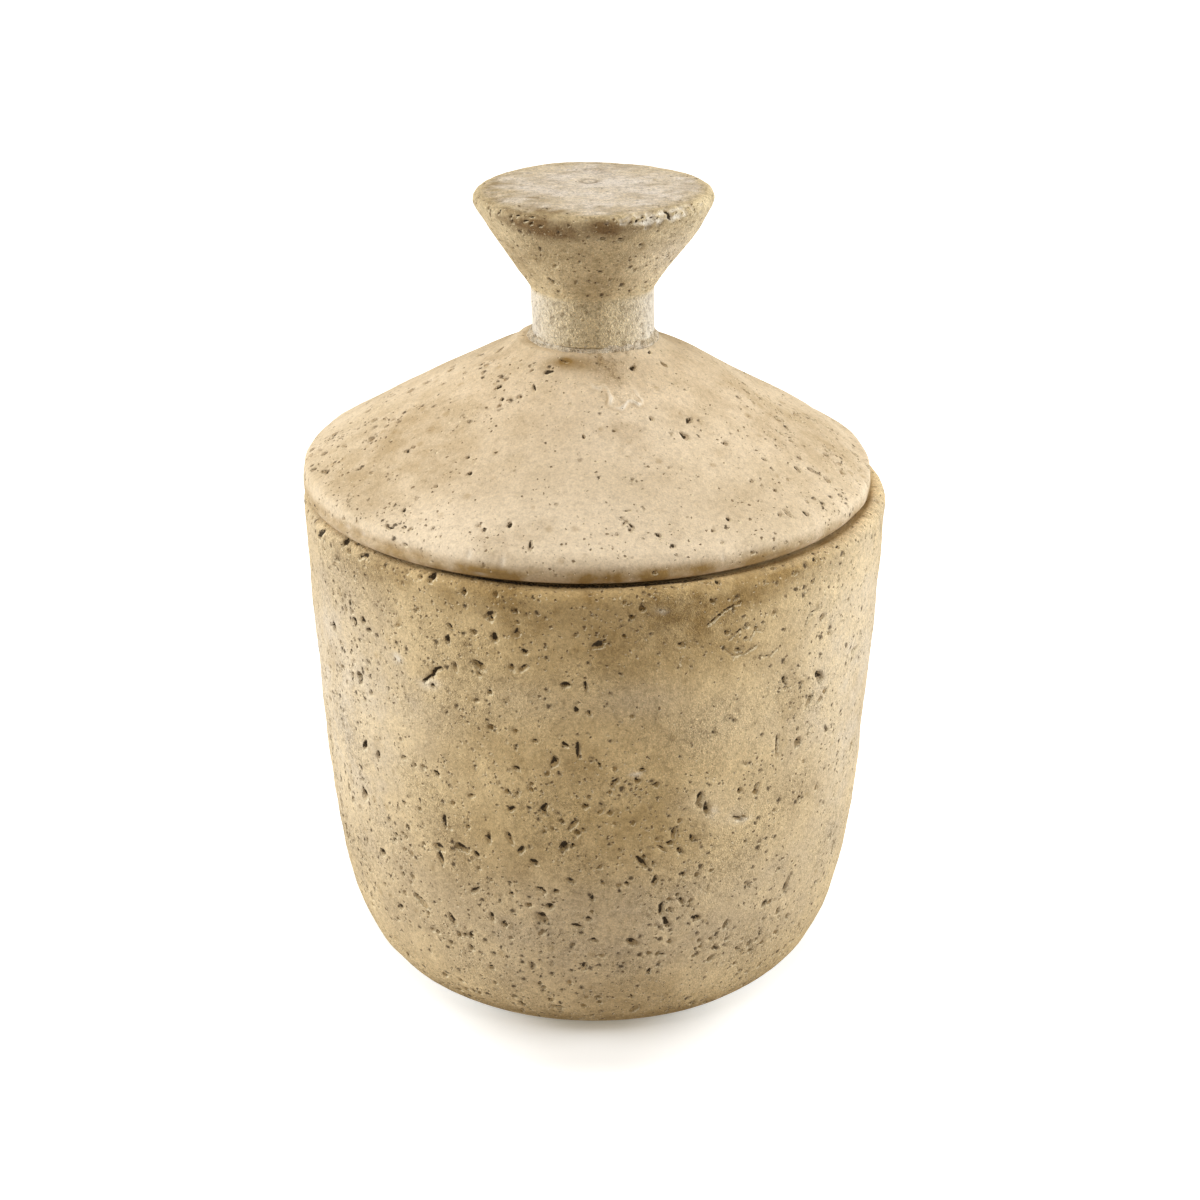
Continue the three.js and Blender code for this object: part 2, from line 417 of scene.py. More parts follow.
# %% [markdown]
# ## Holes
# The holes are broken air bubbles. Boolean modifiers could cut them, but more than a thousand cutters would
# be slow. Here a hole is a bowl with a wavy edge that is pressed only into the few points around it.

# %% Holes
OVAL_SIZE = 0.80
ROUNDS_OUT, ROUNDS_SIZE = (0.45, 0.80), (0.30, 0.52)
CORE_SIZE, WIDEST_CORE = 0.74, 1.15
BOWL_POWER = 0.6


def from_hole(u, v, long, wide, turn, rounds):
    """Distance from a hole over its size, 1 on its edge. The hole is a turned oval with two smaller rounds on
    its edge, and the nearest of the three counts."""
    c, s = math.cos(turn), math.sin(turn)
    p, q = (u * c + v * s) / long, (v * c - u * s) / wide
    near = [
        np.hypot(p - far * math.cos(way), q - far * math.sin(way)) / own for way, far, own in zip(*rounds)
    ]
    return np.minimum(np.hypot(p, q) / OVAL_SIZE, np.minimum(*near))


def punch(skin, holes, seed):
    """Presses holes into a skin. With d as the distance from a hole over its size, its depth falls off as
    (1-d^2)^0.6. Three layers are stored as 1-d/2, which is a half on the edge: the hole, a painted shade
    towards its upper side, where no light falls, and a painted highlight a little lower than the hole, where
    light would catch its lower wall."""
    rng = np.random.default_rng(seed)
    columns = len(skin.angle)
    for angle, along, long, wide, turn, deep, dark in holes:
        reach = 2.4 * max(long, wide) + 0.4
        first, last = np.searchsorted(skin.along, (along - reach, along + reach))
        radius = max(np.interp(along, skin.along, skin.r), 2.0)
        middle = (angle + 180.0) / 360.0 * columns
        span = int(reach / (2 * np.pi * radius) * columns) + 2
        picks = np.arange(int(middle) - span, int(middle) + span + 1)
        where = np.ix_(np.arange(first, last), picks % columns)
        u = ((picks - middle) * 2 * np.pi / columns * radius)[None, :]
        v = (skin.along[first:last] - along)[:, None]
        rounds = [rng.uniform(*limits, 2) for limits in ((0.0, 2 * np.pi), ROUNDS_OUT, ROUNDS_SIZE)]
        hole = (long, wide, math.radians(turn), rounds)
        tall = math.hypot(long * math.sin(hole[2]), wide * math.cos(hole[2]))
        whole = from_hole(u, v, *hole)
        # Painted shade sits in the upper side of each hole, and a painted highlight just below its lower
        # edge.
        core_size = CORE_SIZE * dark * min(1.0, WIDEST_CORE / wide)
        core = from_hole(u + 0.08 * tall, v - 0.24 * tall, *hole) / core_size
        lip = from_hole(u - 0.14, v + 0.16 + 0.10 * tall, *hole)
        for name, d in (("pit", whole), ("core", core), ("lip", lip)):
            skin.tint[name][where] = np.maximum(skin.tint[name][where], 1.0 - 0.5 * d)
        bowl = deep * np.clip(1.0 - whole ** 2, 0.0, 1.0) ** BOWL_POWER
        skin.hole[where] = np.maximum(skin.hole[where], bowl)


trial = spin(paced([(20.0, 0.0), (20.0, 20.0)], 0.2), 600, 0.0)
punch(trial, [(0.0, 10.0, 2.0, 1.0, 30.0, 0.8, 0.9)], 0)
print("a trial hole is", round(trial.hole.max(), 2), "mm deep, on", int((trial.hole > 0).sum()), "points")

# %% [markdown]
# ## Scattered holes
# Between the listed holes lie many that only have to be as thick and as wide as on the real jar. They are
# drawn by chance from a fixed seed, so each run gives the same ones. The smallest are left to the finish.

# %% Scattered holes
MIDDLE_WIDTH, WIDTH_SPREAD, SMALLEST_HOLE = 0.50, 0.6, 1.05


def scatter(skin, rows, tries, widest, crowd, seed):
    """Random holes on some rows. Places are drawn evenly by area and kept with the chance crowd(angle,
    along). Widths follow a log-normal spread about half a millimetre, and only those wide enough to show as a
    shape are kept. Widest is the limit at the front, the limit behind, and the angle where the front ends."""
    rng = np.random.default_rng(seed)
    spacing = np.gradient(skin.along)
    weight = skin.r[rows] * spacing[rows]
    row = rng.choice(rows, tries, p=weight / weight.sum())
    along = skin.along[row] + rng.uniform(-0.5, 0.5, tries) * spacing[row]
    angle = rng.uniform(-180.0, 180.0, tries)
    across = MIDDLE_WIDTH * np.exp(WIDTH_SPREAD * rng.normal(size=tries))
    front, behind, front_end = widest
    limit = np.where(np.abs(angle) < front_end, front, behind)
    keep = (rng.random(tries) < crowd(angle, along)) & (across > SMALLEST_HOLE) & (across < limit)
    long = across * (1.0 + 0.30 * np.abs(rng.normal(size=tries))) / 2
    wide = across / 2 * 1.1
    deep = np.clip(wide * rng.uniform(0.7, 1.5, tries), 0.25, 1.6)
    dark = rng.uniform(0.25, 0.95, tries)
    return np.stack([angle, along, long, wide, rng.uniform(0, 180, tries), deep, dark], 1)[keep]


tried = scatter(trial, np.arange(len(trial.r)), 5000, (1.5, 3.6, 90.0), lambda angle, along: 0.5, 0)
print(len(tried), "of 5000 tries are wide enough to be pressed in")

# %% [markdown]
# ## Meshes
# A grid becomes a mesh of four-sided faces. It is even, but only the holes need so many points, so Blender's
# Decimate modifier thins what is nearly flat, and the result is kept as the piece's own mesh.


# %% Meshes from skins
def build(name, skin, triangles):
    """A closed mesh: rings of four-sided faces between the rows, and a fan of triangles at either end on the
    axis. A Decimate modifier then merges points where the skin is nearly even and leaves them where holes
    need them."""
    x, y, z = points_of(skin)
    rows, columns = x.shape
    ring = 1 + np.arange((rows - 2) * columns).reshape(rows - 2, columns)
    after = np.roll(ring, -1, axis=1)
    end = ring[-1, -1] + 1

    def flat(values):
        return np.concatenate([[values[0].mean()], values[1:-1].ravel(), [values[-1].mean()]])

    places = np.stack([flat(x), flat(y), flat(z)], 1)
    quads = np.stack([ring[:-1], after[:-1], after[1:], ring[1:]], -1).reshape(-1, 4)
    lower = np.stack([np.zeros(columns, int), after[0], ring[0]], -1)
    upper = np.stack([np.full(columns, end), ring[-1], after[-1]], -1)
    loops = np.concatenate([quads.ravel(), lower.ravel(), upper.ravel()])
    sizes = np.repeat([4, 3], [len(quads), 2 * columns])
    mesh = bpy.data.meshes.new(name)
    mesh.vertices.add(len(places))
    mesh.vertices.foreach_set("co", (places * MM).ravel())
    mesh.loops.add(len(loops))
    mesh.loops.foreach_set("vertex_index", loops)
    mesh.polygons.add(len(sizes))
    mesh.polygons.foreach_set("loop_start", np.concatenate([[0], np.cumsum(sizes)[:-1]]))
    mesh.update(calc_edges=True)
    for key, values in skin.tint.items():
        layer = mesh.attributes.new(key, "FLOAT", "POINT")
        layer.data.foreach_set("value", np.clip(flat(values), 0.0, 1.0))
    mesh.shade_smooth()
    piece = bpy.data.objects.new(name, mesh)
    bpy.context.scene.collection.objects.link(piece)
    whole = 2 * len(quads) + 2 * columns
    if whole > triangles:
        thin = piece.modifiers.new("thin", "DECIMATE")
        thin.ratio = triangles / whole
        depsgraph = bpy.context.evaluated_depsgraph_get()
        piece.data = bpy.data.meshes.new_from_object(
            piece.evaluated_get(depsgraph), preserve_all_data_layers=True, depsgraph=depsgraph
        )
        piece.modifiers.clear()
        bpy.data.meshes.remove(mesh)
        piece.data.name = name
    print(name, whole, "triangles before,", len(piece.data.polygons), "faces after")
    return piece


# %% [markdown]
# ## The jar
# One swept curve from the foot to the rim makes the outside, and its parallel at the wall's thickness makes
# the inside. Rows lie half a millimetre apart on the outside, where holes show, and further apart on the
# plain inside.

# %% Profile of the jar
RIM_RADIUS = SIZE["jar_body"][1][0]
RIM_HEIGHT = SIZE["jar_body"][1][2]
BASE_RADIUS, FOOT_SWEEP, WALL_SWEEP, WALL_LEAN, WALL = 47.0, 20.0, 63.5, 2.5, 8.5
RIM_ROUND, MOUTH_ROUND = 2.6, 1.6
HOLED_STEP, PLAIN_STEP = 0.46, 3.0

outside = bezier(
    (BASE_RADIUS, 0.0),
    (BASE_RADIUS + FOOT_SWEEP, 0.0),
    (RIM_RADIUS - WALL_LEAN, RIM_HEIGHT - RIM_ROUND - WALL_SWEEP),
    (RIM_RADIUS, RIM_HEIGHT - RIM_ROUND),
)
slope = np.gradient(outside, axis=0)
slope /= np.linalg.norm(slope, axis=1)[:, None]
inside = outside + WALL * np.stack([-slope[:, 1], slope[:, 0]], 1)
mouth = inside[-1, 0]
inside = inside[inside[:, 1] < RIM_HEIGHT - MOUTH_ROUND - 0.5][::-1]
jar_profile = joined(
    paced([(0.0, 0.0), (BASE_RADIUS, 0.0)], PLAIN_STEP),
    paced(outside, HOLED_STEP),
    paced(arc(RIM_RADIUS - RIM_ROUND, RIM_HEIGHT - RIM_ROUND, RIM_ROUND, 0, 90), HOLED_STEP),
    paced([(RIM_RADIUS - RIM_ROUND, RIM_HEIGHT), (mouth + MOUTH_ROUND, RIM_HEIGHT)], 0.8),
    paced(arc(mouth + MOUTH_ROUND, RIM_HEIGHT - MOUTH_ROUND, MOUTH_ROUND, 90, 180), 0.6),
    paced(np.concatenate([[(mouth, RIM_HEIGHT - MOUTH_ROUND)], inside]), 2.6),
    paced([inside[-1], (0.0, WALL)], PLAIN_STEP),
)
jar = spin(jar_profile, 960, 0.0)
outer_rows = np.arange(np.argmax(jar.r >= BASE_RADIUS - 0.01), np.argmax(jar.z >= RIM_HEIGHT - 0.01) + 1)


def jar_at(height):
    """Length along the profile at a height on the outside of the jar."""
    return np.interp(height, jar.z[outer_rows], jar.along[outer_rows])


print("jar grid", jar.push.shape, "outside rows", outer_rows[0], "to", outer_rows[-1])

# %% [markdown]
# ### Larger holes of the jar
# The larger holes give this jar its face, so they are listed one by one, each with its angle from the front,
# height, half length, half width, turn and depth. The last fifteen are on the sides and the back, which the
# photograph doesn't show.

# %% Larger holes of the jar
JAR_HOLES = [
    (-21.2, 102.4, 2.64, 1.45, 160, 1.05), (48.4, 90.6, 2.44, 1.7, 105, 1.4),
    (8, 30.9, 2.45, 1.36, 144, 0.98), (-5.7, 57.8, 2.1, 1.1, 58, 0.93), (-39.1, 33.6, 3.23, 1.7, 155, 0.96),
    (-10.7, 37.8, 2.67, 1.7, 124, 0.98), (-9.6, 68, 1.73, 1.04, 57, 0.94), (-7.4, 80.1, 2.44, 1.02, 61, 0.75),
    (-2.9, 83.6, 2.72, 0.74, 89, 0.65), (9.4, 53.2, 2.15, 1.2, 136, 0.79), (-4, 64.2, 2.01, 0.94, 55, 0.72),
    (15, 35.3, 2.39, 0.89, 117, 0.76), (22, 65.4, 2.26, 0.95, 98, 0.82), (45.6, 85.5, 2.72, 1.1, 48, 0.89),
    (-55.3, 55.8, 2.14, 1.7, 76, 1), (29.3, 60.8, 2.4, 0.79, 154, 0.8), (-5.2, 99.8, 1.5, 0.96, 10, 0.73),
    (43, 76, 1.93, 1.7, 68, 1.1), (-32.6, 52.2, 2.18, 1.41, 9, 0.86), (-27, 54.1, 2.19, 1.6, 159, 0.93),
    (28.7, 31, 2.18, 1.01, 71, 0.78), (13.7, 39.3, 2.38, 0.86, 88, 0.67), (-1.5, 99.4, 1.69, 0.71, 95, 0.64),
    (-18.9, 115, 2.14, 1.1, 28, 0.61), (-52.7, 70.6, 2.14, 1.13, 59, 0.96),
    (20.6, 68.9, 2.35, 0.98, 79, 0.73), (27.0, 116.3, 0.9, 0.6, 30, 0.6),
    (-51.9, 89.4, 1.56, 1.24, 170, 1.31), (33.1, 66.5, 1.12, 1.14, 151, 1.04),
    (-14.1, 56.4, 1.67, 0.86, 61, 0.64), (15.6, 60.6, 2.05, 0.83, 80, 0.68),
    (18.1, 40.9, 1.69, 0.89, 112, 0.74), (-11.6, 53.2, 1.29, 1.13, 164, 0.71),
    (16.8, 55.6, 0.96, 1.01, 13, 0.88), (-16.5, 59.5, 2.01, 1.09, 110, 0.6),
    (44.5, 35.5, 2.78, 1.04, 74, 0.64), (-4.6, 49, 1.66, 1.08, 138, 0.55), (21.4, 35.2, 1.38, 1.29, 49, 0.78),
    (4, 75.3, 1.38, 0.88, 30, 0.63), (-15, 103, 1.17, 0.92, 110, 0.67), (-8.9, 41.3, 1.31, 1.21, 173, 0.73),
    (27.4, 104.8, 0.9, 0.7, 129, 0.5), (28.7, 107.2, 0.8, 0.6, 20, 0.5), (14.9, 57.7, 1.04, 0.96, 70, 0.79),
    (-30.9, 31.9, 2.3, 1.3, 116, 0.64), (0.7, 109.5, 2.15, 1.08, 28, 0.44),
    (19.4, 58.1, 1.51, 0.74, 97, 0.61), (63.4, 37.1, 2.14, 1.7, 74, 0.92), (-27.6, 107, 1.47, 1.02, 100, 0.7),
    (-48, 70.4, 1.69, 1.16, 70, 0.94), (-15.8, 67, 1.33, 0.92, 42, 0.63), (26.2, 21.6, 1.69, 0.98, 40, 0.74),
    (-12.7, 103.3, 1.69, 0.79, 37, 0.6), (-18.1, 109.6, 1.34, 1.3, 129, 0.77),
    (-21.1, 36.7, 1.59, 0.81, 98, 0.66), (-5.3, 84.7, 1.07, 0.76, 156, 0.61), (12, 47.7, 1.7, 1.08, 69, 0.62),
    (29.3, 68.1, 1.02, 0.89, 57, 0.8), (38.3, 93.9, 1.43, 0.8, 105, 0.72),
    (-14.6, 77.8, 1.16, 0.93, 171, 0.55), (49.3, 84.5, 1.35, 1.07, 19, 0.97), (-48.5, 105, 1.37, 1, 96, 0.86),
    (-2.1, 23.7, 2.08, 0.99, 68, 0.48), (38.5, 33.2, 1.34, 0.98, 65, 0.75),
    (-7.5, 45.8, 1.06, 0.92, 156, 0.68), (-26.9, 110.5, 1.76, 0.75, 137, 0.46),
    (-12.6, 107.2, 1.05, 1, 124, 0.58), (-20.7, 58.1, 1.86, 0.84, 93, 0.5),
    (13.3, 56.6, 1.83, 0.68, 135, 0.52), (-61, 97.6, 1.78, 1.44, 95, 1.1),
    (-22.2, 93.5, 1.09, 0.64, 23, 0.68), (-46.9, 103.2, 1.16, 0.89, 20, 0.79),
    (1.1, 79.7, 1.21, 0.53, 110, 0.58), (9.4, 7.9, 2.22, 1.31, 73, 0.73), (6.6, 47.7, 1.12, 0.68, 119, 0.6),
    (-32.1, 49.3, 2.26, 1.37, 110, 0.68), (-23.6, 53.2, 1.19, 0.76, 119, 0.56),
    (-3.3, 35.8, 2.12, 0.79, 168, 0.44), (-24.2, 68.6, 1.35, 0.72, 26, 0.61),
    (-30.5, 59.8, 1.95, 0.82, 97, 0.49), (-10.9, 85.3, 1.06, 0.75, 164, 0.49),
    (-26.3, 100.8, 1.82, 0.86, 100, 0.59), (-31.6, 72.2, 1.03, 0.85, 148, 0.64),
    (-10.6, 46.1, 1.13, 1.03, 175, 0.52), (-3.2, 93.3, 1.07, 0.92, 119, 0.47),
    (-8.8, 9.4, 2.62, 0.88, 173, 0.5), (-14, 111.5, 1.68, 0.94, 46, 0.44),
    (-46.7, 28.4, 1.38, 1.05, 42, 0.74), (-24.6, 42.8, 1.71, 1.08, 32, 0.54),
    (36.3, 21.7, 1.36, 0.94, 76, 0.73), (-0.4, 43.9, 1.22, 0.83, 95, 0.48), (-27, 25, 1.21, 0.85, 140, 0.62),
    (-63.4, 119.8, 2.13, 1.13, 42, 0.65), (-1.2, 37.9, 1.13, 1.04, 152, 0.54),
    (-0.9, 92.8, 0.99, 0.95, 129, 0.53), (11.8, 21.1, 1.38, 0.68, 65, 0.57),
    (-0.2, 31.8, 1.73, 0.75, 174, 0.51), (-50.8, 42, 1.37, 1.33, 14, 0.84),
    (-51.4, 103.5, 1.37, 1.04, 150, 0.68), (-39.9, 73.2, 1.22, 0.9, 18, 0.6), (22.4, 64.9, 1.3, 0.6, 95, 0.9),
    (20.4, 69.4, 1.0, 0.5, 80, 0.8), (30.6, 60.9, 1.5, 0.4, 152, 0.6), (-54.4, 121.4, 1.7, 1.1, 85, 0.9),
    (-47.2, 121.2, 1.6, 0.9, 20, 0.7), (-30.7, 121.3, 1.6, 1.1, 60, 0.9), (84, 78.8, 2.5, 1.4, 80, 1.1),
    (97, 37.1, 2.9, 1.6, 30, 1.1), (110, 94.1, 2.3, 1.3, 120, 1.0), (124, 56.1, 3.0, 1.7, 65, 1.1),
    (138, 24.6, 2.4, 1.3, 150, 1.0), (151, 86.5, 2.6, 1.5, 20, 1.1), (165, 43.4, 2.8, 1.5, 95, 1.1),
    (179, 101.7, 2.1, 1.2, 50, 0.9), (-167, 30.9, 3.0, 1.7, 140, 1.1), (-153, 71.2, 2.5, 1.4, 75, 1.1),
    (-139, 94.1, 2.8, 1.5, 10, 1.1), (-125, 43.4, 2.4, 1.3, 110, 1.0), (-111, 78.8, 2.9, 1.6, 85, 1.1),
    (-97, 24.6, 2.5, 1.4, 35, 1.0), (-83, 63.7, 2.3, 1.3, 160, 1.0),
]
INSIDE_FRINGE = (0.92, 0.82)
GOLDEN = 0.618


def by_hand(rows, find, dark=0.92):
    """Listed holes, with their height or radius turned into a length along the profile. Their sizes were
    taken over the dark fringe, so length and width are brought in. How far the dark reaches differs from hole
    to hole by steps of the golden ratio."""
    table = np.array(rows, float)
    table[:, 1] = find(table[:, 1])
    table[:, 2:4] *= INSIDE_FRINGE
    differs = 0.7 + 0.6 * (np.arange(len(table)) * GOLDEN % 1.0)
    return np.concatenate([table, (dark * differs)[:, None]], 1)


print(len(JAR_HOLES), "larger holes set by hand")

# %% [markdown]
# ### Cracks of the jar
# A few short cracks and scratches run between the holes. A crack can be a row of small holes that overlap, so
# each one is a half width, depth and darkness with the angles and heights of its stops, and the same tool
# presses it in.

# %% Cracks of the jar
JAR_CRACKS = [
    (0.55, 0.80, 1.0, [(-33.4, 95.2), (-32.3, 96.5), (-31.6, 97.0), (-30.7, 98.8), (-29.4, 99.8)]),
    (0.34, 0.45, 0.9, [(20.9, 112.6), (24.0, 115.1), (26.2, 116.1)]),
    (0.30, 0.40, 0.5, [(25.4, 108.0), (27.2, 109.6), (29.6, 110.2)]),
    (0.30, 0.40, 0.5, [(24.6, 105.6), (26.0, 103.8), (28.6, 103.4), (31.4, 104.9)]),
    (0.28, 0.35, 0.4, [(29.8, 106.8), (30.6, 108.6), (32.6, 108.0)]),
    (0.26, 0.30, 0.4, [(15.4, 103.0), (15.8, 105.2)]),
    (0.30, 0.40, 0.7, [(43.4, 105.6), (44.3, 108.2), (47.8, 108.6)]),
    (0.28, 0.35, 0.6, [(32.2, 101.9), (34.5, 101.2), (36.0, 102.4)]),
    (0.34, 0.60, 0.9, [(37.5, 79.8), (37.7, 74.3)]),
]
SLIT_STEP, SLIT_LENGTH = 0.5, 0.6


def crack(half_width, deep, dark, stops):
    """A crack as a row of slits, one step apart along the line of its stops and each turned to lie along that
    line."""
    angle, height = np.array(stops, float).T
    along = jar_at(height)
    legs = np.hypot(np.diff(np.radians(angle) * RIM_RADIUS), np.diff(along))
    walk = np.concatenate([[0.0], np.cumsum(legs)])
    steps = np.arange(0.0, walk[-1], SLIT_STEP)
    angle, along = np.interp(steps, walk, angle), np.interp(steps, walk, along)
    lean = np.degrees(np.arctan2(np.gradient(along), np.radians(np.gradient(angle)) * RIM_RADIUS))
    return np.stack(np.broadcast_arrays(angle, along, SLIT_LENGTH, half_width, lean, deep, dark), 1)


print(sum(len(crack(*row)) for row in JAR_CRACKS), "slits in", len(JAR_CRACKS), "cracks")

# %% [markdown]
# ### Small holes of the jar
# The small holes are too many to set one by one, so they are scattered, thick in some patches and sparse in
# others. Each row is the angle, height, degrees wide, millimetres tall and weight of a patch, and a weight
# below 0 thins them out.

# %% Small holes of the jar
JAR_CROWDS = [
    (-52, 100, 22, 16, 0.75), (-20, 104, 18, 10, 0.45), (-38, 38, 26, 14, 0.85), (-4, 62, 16, 18, 0.55),
    (8, 34, 26, 13, 0.55), (46, 84, 8, 22, 0.55), (20, 58, 16, 12, 0.35), (35, 25, 22, 12, 0.45),
    (-62, 60, 14, 30, 0.35), (110, 80, 30, 25, 0.6), (160, 45, 35, 18, 0.7), (-110, 50, 30, 20, 0.6),
    (-155, 95, 28, 16, 0.6), (95, 30, 25, 14, 0.5), (-170, 20, 40, 10, 0.3), (10, 95, 22, 14, -0.22),
    (32, 119.0, 16, 3, 0.9), (-50, 119.5, 14, 2.5, 0.5), (0, 119, 60, 3, 0.5), (28, 106, 5, 5, 0.5),
]
JAR_MEAN_RADIUS = 67.0


def jar_crowd(angle, along):
    """Chance of a hole: a low level everywhere, more low on the foot, hills in the crowded patches, and
    clumps."""
    height = np.interp(along, jar.along[outer_rows], jar.z[outer_rows])
    chance = 0.16 + 0.55 * hill(height - 6.0, 8.0) + hills(angle, height, JAR_CROWDS)
    a = np.radians(angle)
    clumps = swell(JAR_MEAN_RADIUS * np.sin(a), -JAR_MEAN_RADIUS * np.cos(a), height, 16.0, 5)
    return np.clip(chance * (1.0 + 0.75 * clumps), 0.02, 1.0)


jar_holes = np.concatenate(
    [by_hand(JAR_HOLES, jar_at)]
    + [crack(*row) for row in JAR_CRACKS]
    + [scatter(jar, outer_rows[4:], 24000, (1.5, 3.6, 66.0), jar_crowd, 11)]
)
print(len(jar_holes), "holes and slits on the jar")

# %% [markdown]
# ### Relief of the jar
# Long swells make the wall slightly uneven, short ones make it rough, and one lump fills out the lower left.
# The swells fade out towards the standing face, which stays flat. The rim is a little worn down at the front,
# so a gap shows there.

# %% Relief of the jar
JAR_SWELLS = [(0.22, 60.0, 1), (0.10, 18.0, 2), (0.035, 5.0, 3)]
JAR_LUMPS = [(-85, 32.0, 40, 22.0, 0.2)]
RIM_WEAR, RIM_WEAR_WIDTH = 0.12, 40.0

jar_points = points_of(jar)
above_foot = np.zeros(len(jar.r))
above_foot[outer_rows] = ramp(jar.z[outer_rows], 0.4, 8.4)
jar.push += above_foot[:, None] * swells(jar_points, JAR_SWELLS) + lumps(jar, jar_at, JAR_LUMPS)
punch(jar, jar_holes, 12)
on_rim = ramp(jar.z, RIM_HEIGHT - RIM_ROUND, RIM_HEIGHT) * (np.abs(jar.r - 66.0) < 6.0)
jar.push -= RIM_WEAR * on_rim[:, None] * hill(jar.angle, RIM_WEAR_WIDTH) + jar.hole
print("deepest hole", round(jar.hole.max(), 2), "mm")

# %% [markdown]
# ### Stains, dust and painted shade of the jar
# Damp and handling left brown stains. The brown band below the rim at the front and the one round the foot at
# the front are painted shade. The flanks are dusty and pale, and a few spots are chipped. Each row is the
# angle, height, degrees wide, millimetres tall and strength of a soft patch.

# %% Stains, dust and painted shade of the jar
# The first row, below the rim at the front, and the eighth, round the foot at the front, are painted shade.
JAR_SOIL = [
    (0, 119, 44, 6, 0.95), (4, 110, 26, 10, 0.55), (-4, 80, 9, 6, 0.5), (-26, 84, 9, 8, 0.35),
    (46, 62, 9, 12, 0.35), (-22, 51, 14, 8, 0.35), (0, 45, 30, 22, 0.04), (5, 4, 60, 4, 0.85),
    (-42, 35, 24, 18, 0.30), (42, 30, 22, 16, 0.20), (20, 112, 10, 6, 0.3), (-55, 108, 14, 8, 0.2),
    (30, 118.6, 14, 3, 0.3), (26, 120.6, 6, 1.0, 0.7), (40, 120.6, 7, 1.0, 0.7), (28, 107, 5, 5, 0.35),
    (-46, 119, 12, 3, 0.3), (-31, 98.5, 4, 2, 0.4), (130, 100, 30, 14, 0.5), (-140, 60, 26, 16, 0.5),
    (-100, 112, 30, 8, 0.3), (170, 30, 40, 10, 0.4),
]
JAR_DUST = [
    (-62, 85, 27, 48, 0.66), (64, 85, 28, 48, 0.60), (0, 26, 60, 16, 0.26), (-13, 95, 10, 6, 0.18),
    (-33, 86, 9, 7, 0.18), (24, 88, 12, 8, 0.15), (-45, 34, 24, 20, 0.10), (46, 32, 24, 20, 0.12),
    (21, 68, 6, 4, 0.2), (27, 62, 5, 3, 0.2), (0, 42, 40, 12, 0.22), (8, 96, 9, 5, 0.25),
    (-110, 60, 30, 50, 0.5), (115, 70, 30, 45, 0.5), (180, 75, 40, 40, 0.4), (-150, 100, 20, 10, 0.3),
]
JAR_PALE = [
    (-39.8, 98.9, 1.1, 0.8, 1.0), (-33.0, 94.4, 2.0, 1.0, 0.45), (-31.0, 95.6, 1.6, 0.9, 0.3),
    (8.0, 77.0, 0.9, 0.5, 0.8), (30.5, 60.1, 1.7, 0.35, 0.7), (23.8, 64.2, 0.6, 1.4, 0.6),
    (12, 117, 1.2, 0.5, 0.5),
]
for layer, rows in (("soil", JAR_SOIL), ("dust", JAR_DUST), ("pale", JAR_PALE)):
    jar.tint[layer] = patches(jar, jar_at, rows)
jar.tint["crowd"][outer_rows] = jar_crowd(jar.angle[None, :], jar.along[outer_rows][:, None])
wall_points = [axis[outer_rows] for axis in jar_points]
jar.tint["sand"][outer_rows] = np.clip(0.15 + 0.20 * swell(*wall_points, 22.0, 15), 0.0, 1.0)
print(len(JAR_SOIL), "stains,", len(JAR_DUST), "dusty patches and", len(JAR_PALE), "chips on the jar")

# %% [markdown]
# ### The painted shadow under the lid
# Where the lid's edge rests on the rim, the shadow of the gap is painted onto the rim. Seen from the front it
# is a thin dark line, widest near the middle and thinner to the left and right, and its outer side is soft.

# %% Painted shadow on the seat
SEAT_INNER, DIRT_EDGE, DIRT_SOFT = 64.8, 67.05, 0.35

from_front = turned(jar.angle, 1.0)[None, :]
radius = jar.r[:, None]
on_seat = (jar.z[:, None] > RIM_HEIGHT - 0.35) & (radius > SEAT_INNER)
dirt_to = DIRT_EDGE - ramp(from_front, -18.0, -40.0) - 0.6 * ramp(from_front, 5.0, 35.0)
# Painted shadow of the gap: dark on the rim's top out to the line, with a soft brown edge beyond it.
lay(jar, "core", on_seat * np.clip(0.66 - 0.6 * np.maximum(radius - dirt_to + DIRT_SOFT, 0.0), 0.0, 1.0))
lay(jar, "soil", on_seat * ramp(radius, dirt_to + 0.6, dirt_to))
print("dirt reaches out to", round(dirt_to.min(), 2), "to", round(dirt_to.max(), 2), "mm")

# %% [markdown]
# ## The cone lid
# A straight cone runs into a thick round edge that rests on the rim, and below it a locating ring drops into
# the mouth. The lid is pressed and smoothed by hand, so it is spun like the jar, and its unevenness goes on
# afterwards.

# %% Profile of the lid
LID_LOW, LID_HIGH = SIZE["lid_cover"]
LID_CENTRE = (LID_LOW[0] + LID_HIGH[0]) / 2
LID_RADIUS = (LID_HIGH[0] - LID_LOW[0]) / 2
LAND = LID_HIGH[2]
SEAT = RIM_HEIGHT + 0.3
EDGE_ROUND, UNDER_ROUND, LAND_RADIUS, LID_WALL = 4.0, 2.6, 16.5, 9.0
CEILING = LAND - 12.0
RING_LOW, RING_ROUND, RING_OUT, RING_IN = LID_LOW[2], 2.0, mouth - 3.0, mouth - 10.0

edge_r, edge_z = LID_RADIUS - EDGE_ROUND, SEAT + EDGE_ROUND
cone = math.atan2(edge_z - LAND, edge_r - LAND_RADIUS)
cone += math.asin(EDGE_ROUND / math.hypot(edge_r - LAND_RADIUS, edge_z - LAND))


def under_cone(r):
    """Height of the inner cone at a radius: the outer cone, lower by the wall measured straight down."""
    return LAND - LID_WALL / math.cos(cone) + (r - LAND_RADIUS) * math.tan(cone)


